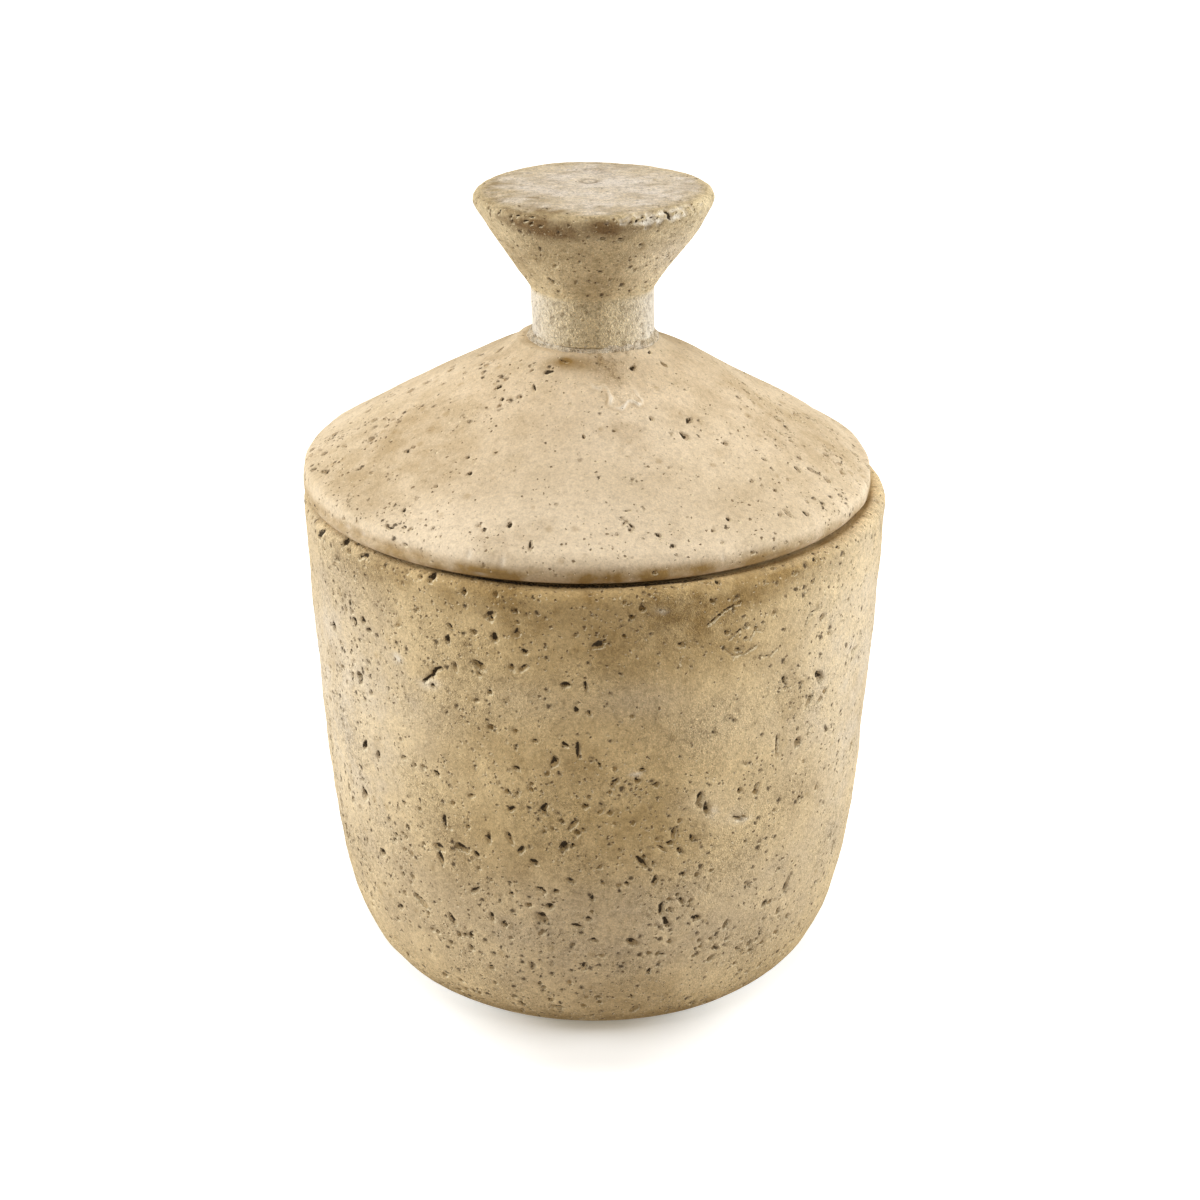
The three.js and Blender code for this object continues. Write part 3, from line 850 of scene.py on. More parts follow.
ceiling_r = LAND_RADIUS + (CEILING - under_cone(LAND_RADIUS)) / math.tan(cone)
edge_end = (edge_r - EDGE_ROUND * math.sin(cone), edge_z + EDGE_ROUND * math.cos(cone))
lid_profile = joined(
    paced([(0.0, CEILING), (ceiling_r, CEILING)], 3.0),
    paced([(ceiling_r, CEILING), (RING_IN, under_cone(RING_IN))], 2.4),
    paced([(RING_IN, under_cone(RING_IN)), (RING_IN, RING_LOW + RING_ROUND)], 2.0),
    paced(arc(RING_IN + RING_ROUND, RING_LOW + RING_ROUND, RING_ROUND, 180, 270), 0.8),
    paced([(RING_IN + RING_ROUND, RING_LOW), (RING_OUT - RING_ROUND, RING_LOW)], 1.5),
    paced(arc(RING_OUT - RING_ROUND, RING_LOW + RING_ROUND, RING_ROUND, 270, 360), 0.8),
    paced([(RING_OUT, RING_LOW + RING_ROUND), (RING_OUT, SEAT)], 1.6),
    paced([(RING_OUT, SEAT), (LID_RADIUS - UNDER_ROUND, SEAT)], 1.2),
    paced(arc(LID_RADIUS - UNDER_ROUND, SEAT + UNDER_ROUND, UNDER_ROUND, -90, 0), 0.5),
    paced([(LID_RADIUS, SEAT + UNDER_ROUND), (LID_RADIUS, edge_z)], 0.5),
    paced(arc(edge_r, edge_z, EDGE_ROUND, 0, 90 + math.degrees(cone)), HOLED_STEP),
    paced([edge_end, (LAND_RADIUS, LAND)], HOLED_STEP),
    paced([(LAND_RADIUS, LAND), (0.0, LAND)], 2.5),
)
lid = spin(lid_profile, 900, LID_CENTRE)
top_start = np.argmax((lid.r >= LID_RADIUS - 0.01) & (lid.z > SEAT + 2.0))
top_rows = np.arange(top_start, np.argmax((lid.z > LAND - 0.01) & (lid.r <= LAND_RADIUS + 0.01)))


def lid_at(radius):
    """Length along the profile at a radius on top of the lid."""
    return np.interp(-np.asarray(radius, float), -lid.r[top_rows], lid.along[top_rows])


print("lid grid", lid.push.shape, "cone", round(math.degrees(cone), 1), "degrees")

# %% [markdown]
# ### Holes of the lid
# The lid has fewer holes than the jar. The larger ones are listed one by one again, with a radius from the
# axis in place of the height, and the small ones are scattered in a few patches.

# %% Holes of the lid
LID_HOLES = [
    (8.2, 59.1, 1.5, 0.6, 42, 0.6), (9.6, 60.1, 1.2, 0.6, 130, 0.5), (9.1, 56.3, 1.6, 0.4, 8, 0.4),
    (31.4, 20.5, 1.36, 0.9, 14, 1.1), (33.2, 40.3, 1.7, 1.1, 92, 0.84), (56, 21.9, 1.4, 1.0, 90, 0.8),
    (39.3, 36.7, 1.29, 1.08, 29, 0.84), (-45.6, 28.1, 1.19, 0.8, 48, 0.7), (-24, 21.7, 1.5, 0.9, 10, 0.3),
    (-15.7, 18.4, 1.5, 0.6, 172, 0.4), (44.2, 64.2, 1.6, 0.8, 94, 0.55), (62.1, 58.3, 1.58, 0.9, 98, 0.81),
    (63.3, 61.9, 1.6, 1.1, 40, 0.73), (-31.4, 29.1, 1.09, 0.81, 38, 0.72), (48.2, 65.8, 1.12, 0.86, 94, 0.62),
    (-41.8, 66.3, 1.62, 0.95, 153, 0.52), (58.3, 56.4, 1.28, 0.9, 75, 0.69),
    (30.5, 61.5, 0.8, 0.7, 125, 0.68), (25, 34.5, 0.8, 0.8, 77, 0.57), (-10.6, 64.9, 1.99, 0.6, 99, 0.38),
    (9.1, 60.9, 1, 0.9, 81, 0.54), (-27.1, 26.2, 1.2, 0.6, 118, 0.47), (-31.2, 49.9, 1.04, 0.7, 55, 0.51),
    (94.6, 59.8, 1.6, 0.9, 150, 0.91), (16.8, 65.5, 0.84, 0.79, 123, 0.53), (42.2, 63.8, 1.05, 0.8, 36, 0.52),
    (-89.2, 32, 1.6, 0.9, 147, 0.74), (14.4, 62.7, 1.18, 0.66, 137, 0.4), (-83.7, 21, 1.5, 1, 131, 0.65),
    (-92.6, 25.6, 1.6, 0.9, 28, 0.69), (-55.9, 49.6, 1.3, 0.8, 30, 0.6), (-35.0, 21.9, 0.8, 0.6, 60, 0.5),
    (55.2, 18.1, 0.9, 0.6, 20, 0.5),
]
LID_CROWDS = [
    (62, 60, 26, 9, 0.45), (-58, 33, 22, 10, 0.30), (-60, 63, 26, 6, 0.16), (80, 45, 25, 14, 0.30),
    (-90, 55, 25, 10, 0.08), (-35, 24, 20, 8, 0.35), (150, 50, 30, 12, 0.40), (-150, 40, 30, 12, 0.35),
    (0, 66, 60, 3, 0.30), (-45, 65, 20, 3, 0.4), (-75, 50, 25, 15, 0.15),
]


def lid_crowd(angle, along):
    """Chance of a hole on the lid: low, with hills in a few patches, and clumps."""
    radius = np.interp(along, lid.along[top_rows], lid.r[top_rows])
    chance = 0.06 + hills(angle, radius, LID_CROWDS)
    a = np.radians(angle)
    clumps = swell(radius * np.sin(a), -radius * np.cos(a), along, 13.0, 25)
    return np.clip(chance * (1.0 + 0.7 * clumps), 0.01, 1.0)


lid_holes = np.concatenate([
    by_hand(LID_HOLES, lid_at, 0.75),
    scatter(lid, top_rows[:-2], 13000, (1.25, 2.8, 70.0), lid_crowd, 27),
])
print(len(lid_holes), "holes on the lid")

# %% [markdown]
# ### Relief of the lid
# The hand that smoothed the lid left its left flank fuller than its right, and rubbed the cone down beside
# the knob. Soft lumps give that. The edge is also shifted a little to the right, and at the front its
# underside stands clear of the rim.

# %% Relief of the lid
LID_SWELLS = [(0.20, 45.0, 21), (0.09, 16.0, 22), (0.02, 5.0, 23)]
LID_FLANKS = [(-115, 52.0, 42, 19.6, 0.8), (115, 66.0, 42, 30.0, -0.5)]
LID_RUBBED = [(119, 20.0, 60, 6.0, -1.3), (-119, 20.0, 60, 6.0, -0.7), (108, 66.2, 40, 5.0, -0.9)]
EDGE_SHIFT, EDGE_CLEAR = 0.6, 0.22

beside_knob = np.zeros(len(lid.r))
beside_knob[top_rows] = ramp(lid.r[top_rows], 15.0, 21.0)
on_flank = beside_knob * ramp(lid.r, LID_RADIUS, LID_RADIUS - EDGE_ROUND / 2)
lid.push += beside_knob[:, None] * swells(points_of(lid), LID_SWELLS)
lid.push += on_flank[:, None] * lumps(lid, lid_at, LID_FLANKS) + lumps(lid, lid_at, LID_RUBBED)
outermost = ramp(lid.out, 0.75, 0.95) * (beside_knob > 0)
lid.push += EDGE_SHIFT * outermost[:, None] * np.sin(np.radians(lid.angle))
punch(lid, lid_holes, 28)
under_edge = (lid.z < SEAT + 2.2) & (lid.r > LID_RADIUS - 5.0)
lid.push -= EDGE_CLEAR * under_edge[:, None] * hill(turned(lid.angle, 2.0), 42.0) + lid.hole
print("lid pushed", round(lid.push.min(), 2), "to", round(lid.push.max(), 2), "mm")

# %% [markdown]
# ### Stains, dust and painted shade of the lid
# The cone is paler than the jar, with faint brown clouds, dust at the front and grime round the neck of the
# knob. The lower half of its edge is darkened with painted shade, most of all at the front, and painted shade
# lies in the crease where it meets the rim.

# %% Stains, dust and painted shade of the lid
LID_SOIL = [
    (-47, 49, 26, 12, 0.33), (-66, 45, 18, 14, 0.30), (-60, 62, 16, 5, 0.3), (17, 50, 12, 8, 0.16),
    (-26, 20, 10, 2.2, 0.40), (-17, 18.8, 6, 1.8, 0.45), (-15.2, 18.2, 4, 0.8, 0.7), (-6, 19.5, 8, 2.0, 0.3),
    (4, 18.6, 26, 2.2, 0.5), (14, 23, 9, 4, 0.4), (-12, 34, 16, 8, 0.18), (40, 59, 14, 6, 0.2),
    (70, 45, 16, 16, 0.26), (30, 20, 20, 3.0, 0.35), (85, 60, 16, 6, 0.25), (75, 30, 30, 10, 0.26),
    (-45, 30, 25, 10, 0.14), (80, 52, 18, 16, 0.2), (140, 45, 30, 14, 0.4), (-130, 40, 30, 14, 0.4),
    (180, 22, 60, 4, 0.5),
]
LID_DUST = [
    (0, 58, 30, 10, 0.65), (12, 38, 24, 12, 0.60), (0, 66, 40, 3.0, 0.4), (-30, 62, 12, 5, 0.3),
    (60, 35, 14, 8, 0.15),
]
CREASE_DARK, CREASE_FADE = 0.47, 600.0

lid.tint["soil"] = patches(lid, lid_at, LID_SOIL)
lid.tint["dust"] = patches(lid, lid_at, LID_DUST)
lid.tint["crowd"][top_rows] = lid_crowd(lid.angle[None, :], lid.along[top_rows][:, None])
# Painted shade in the crease under the lid's edge.
crease = (lid.r > LID_RADIUS - 5.0) & (lid.r < LID_RADIUS - 0.8) & (lid.z < SEAT + 0.5)
lay(lid, "core", crease[:, None] * (CREASE_DARK - np.abs(turned(lid.angle, 1.0)) / CREASE_FADE))
# Painted shade on the lower half of the lid's edge, strongest at the front.
low_edge = ramp(lid.z, SEAT + 5.2, SEAT + 3.0) * (lid.r > LID_RADIUS - 3.0)
lay(lid, "soil", low_edge[:, None] * (0.45 + 0.55 * hill(lid.angle, 50.0)))
print(len(LID_SOIL), "stains and", len(LID_DUST), "dusty patches on the lid")

# %% [markdown]
# ### A smear of slip
# When the knob was set, a tongue of slip ran down the front of the cone and dried as a thin film with a
# raised edge. Its outline is a line of angles and radii. For every point of the lid, the distance to that
# line and a count of how often a ray crosses it tell how near the edge it is and on which side.

# %% Outline of the smear
SMEAR = [
    (-9, 15.0), (-4, 18.5), (1.9, 23.5), (3.3, 25.3), (6.3, 25.6), (8.7, 24.6), (10.8, 26.0), (11.3, 28.3),
    (9.8, 29.9), (11.7, 30.7), (14.4, 31.3), (16.1, 30.6), (18.7, 29.3), (20.8, 29.7), (22.4, 30.5),
    (24.6, 30.2), (25.1, 29.2), (24.4, 28.3), (24.4, 26.1), (26.6, 24.6), (36.5, 20.6), (50, 15.0),
]
turn, reach = np.array(SMEAR, float).T
edge_u, edge_v = reach * np.sin(np.radians(turn)), reach * np.cos(np.radians(turn))
u, v = lid.r[:, None] * np.sin(np.radians(lid.angle)), lid.r[:, None] * np.cos(np.radians(lid.angle))
off_line = np.full(u.shape, np.inf)
covered = np.zeros(u.shape, bool)
for k in range(len(SMEAR)):
    u1, v1, u2, v2 = edge_u[k - 1], edge_v[k - 1], edge_u[k], edge_v[k]
    du, dv = u2 - u1, v2 - v1
    covered ^= ((v1 > v) != (v2 > v)) & (u < du * (v - v1) / (dv + 1e-9) + u1)
    if k:
        share = np.clip(((u - u1) * du + (v - v1) * dv) / (du ** 2 + dv ** 2), 0.0, 1.0)
        off_line = np.minimum(off_line, np.hypot(u - u1 - share * du, v - v1 - share * dv))
print("the smear covers", int(covered.sum()), "points")

# %% Film and raised edge of the smear
RIDGE_HEIGHT, RIDGE_WIDTH, FILM_HEIGHT = 0.35, 0.30, 0.10

on_cone = ((lid.z > SEAT + 6.0) & (lid.up > 0.5))[:, None]
ridge = on_cone * hill(off_line + 0.12 * swell(u, v, 0.0, 2.2, 51), RIDGE_WIDTH) * ramp(v, 23.0, 28.0)
film = on_cone * covered * np.maximum(ramp(off_line, 0.0, 4.0), ramp(v, 24.0, 27.0))
film = film * np.clip(0.7 + 0.3 * swell(u, v, 0.0, 3.0, 52), 0.0, 1.0)
# A painted shadow just outside the raised edge.
beside = on_cone * ~covered * hill(off_line - 0.75, 0.35) * ramp(v, 24.0, 28.0)
lid.push += RIDGE_HEIGHT * ridge + FILM_HEIGHT * film
lid.tint["sand"] = np.maximum(0.05 * beside_knob[:, None], 0.8 * film)
lay(lid, "pale", 0.75 * ridge)
lay(lid, "soil", 0.4 * beside)
lay(lid, "soil", film * np.minimum(ramp(v, 28.0, 14.0), 0.60))
lay(lid, "crowd", film * np.minimum(ramp(v, 27.0, 21.0), 0.7))
print("film on", int((film > 0).sum()), "points")

# %% [markdown]
# ### Nicks in the lid's edge
# The round edge has been knocked here and there. Each nick is a small soft patch that is pressed in and left
# pale.

# %% Nicks in the lid's edge
NICKS = [
    (-21.9, 128.0, 0.5, 0.9, 1.0), (-15.4, 127.4, 0.45, 1.2, 1.0), (-19.8, 123.7, 1.2, 0.35, 0.9),
    (-48, 125.7, 0.8, 0.6, 0.7), (-53, 125.6, 0.9, 0.5, 0.6), (26, 126.5, 0.4, 0.8, 0.6),
    (118, 126.0, 0.6, 1.0, 0.9), (-140, 127.0, 0.5, 1.0, 0.9),
]
NICK_DEPTH = 0.35
edge_rows = np.arange(np.argmax((lid.r > LID_RADIUS - 2.7) & (lid.z < SEAT + 0.1)), top_rows[12])


def edge_at(height):
    """Length along the profile at a height on the lid's rounded edge."""
    return np.interp(height, lid.z[edge_rows], lid.along[edge_rows])


nicks = patches(lid, edge_at, NICKS)
lid.push -= NICK_DEPTH * nicks
lay(lid, "pale", 0.45 * nicks)
print(len(NICKS), "nicks in the edge")

# %% [markdown]
# ## The flared knob
# The knob is a straight neck that widens into a flare, with a flat top and a worn round edge. It is spun as
# well, and its rows lie closer together than the jar's, because it stands nearest to the lens.

# %% Profile of the knob
KNOB_LOW, KNOB_HIGH = SIZE["lid_knob"]
KNOB_CENTRE = (KNOB_LOW[0] + KNOB_HIGH[0]) / 2
KNOB_RADIUS = (KNOB_HIGH[0] - KNOB_LOW[0]) / 2
NECK_FOOT, KNOB_TOP = KNOB_LOW[2], KNOB_HIGH[2]
NECK_RADIUS, NECK_TOP, NECK_FILLET, KNOB_ROUND = 14.5, NECK_FOOT + 11.3, 2.5, 2.0

rim_r, rim_z = KNOB_RADIUS - KNOB_ROUND, KNOB_TOP - KNOB_ROUND
flare = math.atan2(rim_z - NECK_TOP, rim_r - NECK_RADIUS)
flare -= math.asin(KNOB_ROUND / math.hypot(rim_r - NECK_RADIUS, rim_z - NECK_TOP))
lean = math.degrees(flare) - 90.0
drop = NECK_FILLET * math.tan((math.pi / 2 - flare) / 2)
fillet = arc(NECK_RADIUS + NECK_FILLET, NECK_TOP - drop, NECK_FILLET, 180, 180 + lean)
rounded = arc(rim_r, rim_z, KNOB_ROUND, lean, 90)
knob_profile = joined(
    paced([(0.0, NECK_FOOT), (NECK_RADIUS, NECK_FOOT)], 2.4),
    paced(np.concatenate([[(NECK_RADIUS, NECK_FOOT)], fillet, rounded]), 0.34),
    paced([(rim_r, KNOB_TOP), (1.0, KNOB_TOP)], 0.40),
    paced([(1.0, KNOB_TOP), (0.0, KNOB_TOP)], 0.5),
)
knob = spin(knob_profile, 440, KNOB_CENTRE)
flare_start = np.argmax(knob.r >= NECK_RADIUS - 0.01)
edge_row = np.argmax(knob.r)
edge_along = knob.along[edge_row]
flare_rows = np.arange(flare_start + 2, edge_row)
crown_rows = np.arange(edge_row, len(knob.r) - 2)


def knob_at(height):
    """Length along the profile at a height on the neck and flare."""
    return np.interp(height, knob.z[flare_rows], knob.along[flare_rows])


def crown_at(radius):
    """Length along the profile at a radius on the knob's top."""
    return np.interp(-np.asarray(radius, float), -knob.r[crown_rows], knob.along[crown_rows])


def past_edge(length):
    """Length along the profile, counted from the knob's widest ring."""
    return edge_along + length


print("knob grid", knob.push.shape, "flare", round(math.degrees(flare), 1), "degrees")

# %% [markdown]
# ### Holes of the knob
# Three groups are listed one by one: on the flare by height, on the flat top by radius, and along the worn
# edge by the length past the widest ring. A few more are scattered, most of them along the edge.

# %% Holes of the knob
FLARE_HOLES = [
    (29.4, 178.4, 0.9, 0.5, 70, 0.5), (5.0, 188.0, 1.0, 0.7, 20, 0.6), (-8, 181.5, 0.8, 0.5, 60, 0.4),
    (26.0, 185.6, 0.9, 0.7, 40, 0.4), (-24, 180.0, 0.8, 0.6, 20, 0.4), (12, 176.5, 0.7, 0.5, 90, 0.4),
    (-30, 175.5, 0.6, 0.9, 20, 0.4), (-12, 176.0, 0.7, 0.5, 60, 0.4), (-41, 190.4, 0.8, 0.6, 70, 0.6),
    (14, 187.6, 1.1, 0.8, 10, 0.5), (56.1, 188.7, 1.2, 0.9, 25, 0.5), (-2, 188.4, 0.7, 0.5, 40, 0.5),
]
EDGE_HOLES = [
    (-42, 0.2, 0.9, 0.6, 60, 0.7), (-50, 0.5, 1.1, 0.35, 70, 0.6), (-57, 0.2, 0.7, 0.4, 80, 0.5),
    (-33, -0.2, 0.9, 0.4, 20, 0.5), (-30, -0.8, 0.8, 0.5, 30, 0.6), (-25, -1.0, 0.7, 0.5, 10, 0.5),
    (-38, 1.0, 0.8, 0.4, 20, 0.4), (-30, 1.4, 1.0, 0.5, 15, 0.4), (21, 0.6, 0.6, 0.4, 60, 0.4),
    (24, 1.4, 0.5, 0.4, 20, 0.4), (26, 0.4, 0.6, 0.4, 80, 0.4), (29, 1.3, 0.5, 0.4, 40, 0.4),
    (32, 0.7, 0.5, 0.35, 70, 0.4), (34, 1.7, 0.5, 0.4, 10, 0.4), (44, 1.2, 0.5, 0.35, 30, 0.4),
    (56, 0.3, 1.0, 0.4, 75, 0.5), (-100, 0.5, 1.0, 0.6, 30, 0.6), (120, 0.3, 1.1, 0.6, 60, 0.6),
    (170, 0.6, 1.0, 0.5, 20, 0.5), (-150, 0.2, 1.2, 0.6, 75, 0.6),
]
CROWN_HOLES = [
    (-27.4, 22.0, 1.5, 1.0, 10, 0.35), (-165, 19.5, 0.6, 0.5, 0, 0.4), (40, 23.0, 0.8, 0.5, 60, 0.4),
    (-60, 24.0, 1.2, 0.6, 90, 0.4), (-48, 25.8, 1.1, 0.5, 80, 0.5),
]


def knob_crowd(angle, along):
    """Chance of a hole on the knob: low, with more along its edge."""
    return 0.10 + 0.35 * hill(along - edge_along, 3.0)


knob_holes = np.concatenate([
    by_hand(FLARE_HOLES, knob_at, 0.75),
    by_hand(CROWN_HOLES, crown_at, 0.6),
    by_hand(EDGE_HOLES, past_edge, 1.1),
    scatter(knob, np.arange(flare_start + 2, len(knob.r) - 3), 900, (1.4, 1.4, 180.0), knob_crowd, 35),
])
print(len(knob_holes), "holes on the knob")

# %% [markdown]
# ### Relief of the knob
# The flare is fuller on the right, and the edge is worn down at the front left. The front right of the edge
# has lost a flake: where a lump plus a fine swell passes a level, a ragged scar is cut in, with crumbs, a
# split and a pale lower line.

# %% Relief of the knob
KNOB_SWELLS = [(0.07, 24.0, 31), (0.05, 9.0, 32), (0.025, 3.0, 33)]
KNOB_LUMPS = [(90, 184.0, 50, 8.0, 0.85), (-90, 184.0, 50, 8.0, 0.2)]
WORN_EDGE = [(-40, 2.0, 60, 3.0, -0.5)]
FLAKE = [(35, 1.3, 23, 2.2, 1.0)]
FLAKE_DEPTH, SPLIT_DEPTH = 0.55, 0.5

points = points_of(knob)
knob.push += swells(points, KNOB_SWELLS)
knob.push += lumps(knob, knob_at, KNOB_LUMPS) + lumps(knob, past_edge, WORN_EDGE)
knob.push[: flare_start + 1] = 0.0
punch(knob, knob_holes, 36)
flake = ramp(lumps(knob, past_edge, FLAKE) + 0.14 * swell(*points, 2.2, 37), 0.42, 0.48)
crumbs = swell(*points, 1.3, 43)
split = flake * hill(turned(knob.angle, 39.0), 1.2)
lower_line = flake * ramp(np.abs(knob.along - past_edge(-0.25)), 0.7, 0.0)[:, None]
lower_line = lower_line * ramp(np.abs(turned(knob.angle, 32.0)), 14.4, 5.4)
knob.push -= flake * (FLAKE_DEPTH + 0.12 * crumbs) + SPLIT_DEPTH * split + knob.hole
knob.tint["pale"] = np.clip(flake * (0.50 + 0.28 * crumbs) + 0.9 * lower_line, 0.0, 1.0)
lay(knob, "core", 0.8 * split)
print("the flake's scar covers", int((flake > 0.5).sum()), "points")

# %% [markdown]
# ### Dust on top of the knob
# The flat top is pale with dust in its middle and rubbed brown towards its rim, more so on the left, and it
# has a small round mark. Swells of two sizes break the dust into blotches, and a stretched one into streaks.

# %% Dust on top of the knob
MARK_PLACE, MARK_RADIUS, MARK_LINE = (KNOB_CENTRE - 0.9, 6.4), 1.9, 0.6

x, y, z = points
on_top = ramp(knob.along, past_edge(2.2), past_edge(4.7))[:, None]
rimward = (knob.r / knob.r.max())[:, None]
left_side = np.clip(-np.sin(np.radians(knob.angle - 20.0)), 0.0, 1.0)[None, :]
blotch = swells(points, [(0.09, 9.0, 45), (0.08, 3.0, 46)])
streaks = 0.04 * swell(x, 2.0 * y, z, 12.0, 38)
rubbed = 0.70 * rimward ** 3 + 0.35 * left_side * rimward ** 2
knob.tint["dust"] = np.clip(on_top * (1.0 - rubbed + streaks + blotch * (0.4 + rimward)), 0.0, 1.0)
lay(knob, "soil", np.clip(on_top * (0.5 * rimward ** 4 + 0.15 * left_side * rimward - blotch), 0.0, 0.6))
mark = on_top * hill(np.hypot(x - MARK_PLACE[0], y - MARK_PLACE[1]) - MARK_RADIUS, MARK_LINE)
knob.push -= 0.15 * mark
lay(knob, "soil", 0.75 * mark)
print("mean dust on top", round(knob.tint["dust"][crown_rows].mean(), 2))

# %% [markdown]
# ### Stains of the flare and neck
# The flare is brown under its edge, and the neck is sandy. The neck is pale with dust all round except at the
# front, which is left darker as painted shade, and its pale sides are partly painted light.

# %% Stains of the flare and neck
FLARE_SOIL = [
    (-12, 189.3, 30, 2.4, 1.0), (0, 184, 40, 5, 0.12), (-8, 191.2, 50, 1.8, 1.0), (-55, 182, 30, 7, 0.5),
    (0, 176, 50, 3, 0.3),
]
FLARE_DUST = [(58, 181.0, 26, 8.0, 0.4)]
EDGE_SOIL = [(-40, 1.5, 50, 2.2, 0.7)]

on_flare = ramp(knob.z, NECK_TOP - 1.0, NECK_TOP + 2.0) * ramp(knob.along, past_edge(1.5), past_edge(-0.5))
on_flare = on_flare[:, None]
on_neck = ramp(knob.z, NECK_TOP + 0.5, NECK_TOP - 1.0)[:, None]
lay(knob, "soil", np.clip(on_flare * (0.10 + 0.10 * swell(*points, 7.0, 39)), 0.0, 1.0))
lay(knob, "soil", patches(knob, knob_at, FLARE_SOIL))
lay(knob, "soil", lumps(knob, past_edge, EDGE_SOIL))
# Painted light and shade on the neck: pale on its sides and back, left darker at the front.
sides = np.where(np.abs(knob.angle) < 90.0, np.abs(np.sin(np.radians(knob.angle))) ** 3, 1.0)[None, :]
lay(knob, "dust", on_neck * (0.06 + 0.64 * sides))
lay(knob, "dust", lumps(knob, knob_at, FLARE_DUST))
lay(knob, "pale", 0.75 * on_neck * sides)
knob.tint["sand"] += 0.6 * on_neck + 0.2
worn = hill(knob.along - past_edge(1.0), 2.0)[:, None] * (0.35 + 0.45 * left_side)
knob.tint["crowd"] += 0.03 + 0.45 * on_flare + worn
print("neck of", int((on_neck > 0).sum()), "rows, flare of", int((on_flare > 0).sum()), "rows")

# %% [markdown]
# ## The bed of slip under the knob
# The neck was set into wet slip, and some was squeezed out round its foot as an uneven bead. Its profile is a
# few stops from the lid's land up the neck. Outside the land, the bead follows the cone down, and a crack
# runs along its front.

# %% Profile of the slip bead
BEAD_STOPS = [(1.1, -0.35), (1.0, 0.05), (0.6, 0.25), (0.30, 0.60), (0.14, 1.0), (0.02, 1.5), (-0.3, 1.6)]
BED_FOOT = SIZE["knob_bond"][0][2]

bead_line = np.array(BEAD_STOPS) + (NECK_RADIUS, LAND)
bead_profile = joined(
    paced([(0.0, BED_FOOT), (NECK_RADIUS - 1.0, BED_FOOT), bead_line[0]], PLAIN_STEP),
    paced(bead_line, 0.22),
    paced([bead_line[-1], (0.0, bead_line[-1][1])], PLAIN_STEP),
)
bead = spin(bead_profile, 420, KNOB_CENTRE)


def bead_at(height):
    """Length along the profile where the bead first passes a height."""
    return bead.along[np.argmax(bead.z > height)]


print("bead grid", bead.push.shape, "out to", round(bead.r.max(), 1), "mm")

# %% Relief and colours of the slip bead
BEAD_SWELLS = [(0.12, 5.0, 41), (0.07, 1.8, 42)]
CRACK_HEIGHT, CRACK_WIDTH, CRACK_DEPTH = LAND + 0.95, 0.18, 0.45

points = points_of(bead)
x, y, z = points
squeezed = (bead.r > NECK_RADIUS - 0.1)[:, None]
past_land = np.maximum(np.hypot(x - LID_CENTRE, y) - LAND_RADIUS, 0.0)
bead.drop = squeezed * past_land * -math.tan(cone) * ramp(z, LAND + 1.4, LAND)
bead.push += squeezed * swells(points, BEAD_SWELLS)
at_front = np.clip(1.3 - (turned(bead.angle, -14.0) / 17.0) ** 2, 0.0, 1.0)
gap_line = hill(bead.z - CRACK_HEIGHT, CRACK_WIDTH)[:, None] * at_front
gap_line = gap_line * (bead.r < NECK_RADIUS + 1.2)[:, None] * squeezed
bead.push -= CRACK_DEPTH * gap_line
bead.tint["core"] = np.clip(0.8 * gap_line, 0.0, 1.0)
bead.tint["pale"] = squeezed * np.clip(0.25 * swell(*points, 3.0, 44) + 0.15, 0.0, 0.6)
lay(bead, "pale", lumps(bead, bead_at, [(-48, LAND + 0.5, 22, 0.5, 0.7)]))
bead.tint["sand"] += 0.9
bead.tint["crowd"] += 0.3
print("the bead sinks up to", round(bead.drop.max(), 2), "mm beside the land")

# %% [markdown]
# ## Patterns of the clay
# Cloudy noise makes mottle and grain. Holes that are too small to model are dots in random cells, each with a
# painted shade that is shifted up and a painted highlight that is shifted down, as light from above would
# fall on them. All patterns read Object coordinates, so they stay put on a piece when it moves.


# %% Patterns of the clay
def noise(place, scale, detail, rough=0.55):
    """Cloudy values about a half, with the scale in clouds per metre."""
    values = {"Vector": place, "Scale": scale, "Detail": detail, "Roughness": rough}
    return place.node("TexNoise", None, values)


def moved(place, by):
    """The place that a shifted pattern reads."""
    return place.node("VectorMath", {"operation": "ADD"}, {0: place, 1: by})


def cells(place, scale):
    """Distance to the nearest of many random points."""
    return place.node("TexVoronoi", {"feature": "F1"}, {"Vector": place, "Scale": scale}, "Distance")


def dots(place, scale, share, small, large, soft=0.03):
    """Dots of random size in a share of the cells: the distance to a cell's point, held against a size of its
    own."""
    near = cells(place, scale)
    own = Wire(place.tree, near.socket.node.outputs["Color"])
    red, green = (own.node("SeparateColor", None, {0: own}, name) for name in ("Red", "Green"))
    size = small + red ** 2.0 * (large - small)
    return (size - near).step(-soft, soft) * (share - green).step(0.0, 0.02)


# Painted shade of a tiny hole is moved up, and its painted highlight down.
CORE_SHIFT, LIP_SHIFT = (0.08 * MM, 0.0, -0.12 * MM), (-0.14 * MM, 0.0, 0.20 * MM)


def tiny_holes(place, scale, share, whole, core, lip):
    """Three sets of dots from the smallest and largest size of each: the hole, its painted shade, and its
    painted highlight outside it."""
    hole = dots(place, scale, share, *whole)
    dark = dots(moved(place, CORE_SHIFT), scale, share, *core)
    lit = dots(moved(place, LIP_SHIFT), scale, share, *lip) * (1.0 - hole)
    return hole, dark, lit


print("cores lie", round(-CORE_SHIFT[2] / MM, 2), "mm up and lips", round(LIP_SHIFT[2] / MM, 2), "mm down")

# %% [markdown]
# ## Grain and holes of a clay
# All pieces are the same sandy, unglazed body: clouds of two sizes mottle it, stains lie over it, and it is
# full of grains, specks and pinholes. The modelled holes are read from the values stored at their points, and
# fine noise breaks up their edges, as the grain of the clay does.

# %% Grain and holes of a clay
MOTTLE = 0.15
WARP = 1.1 * MM


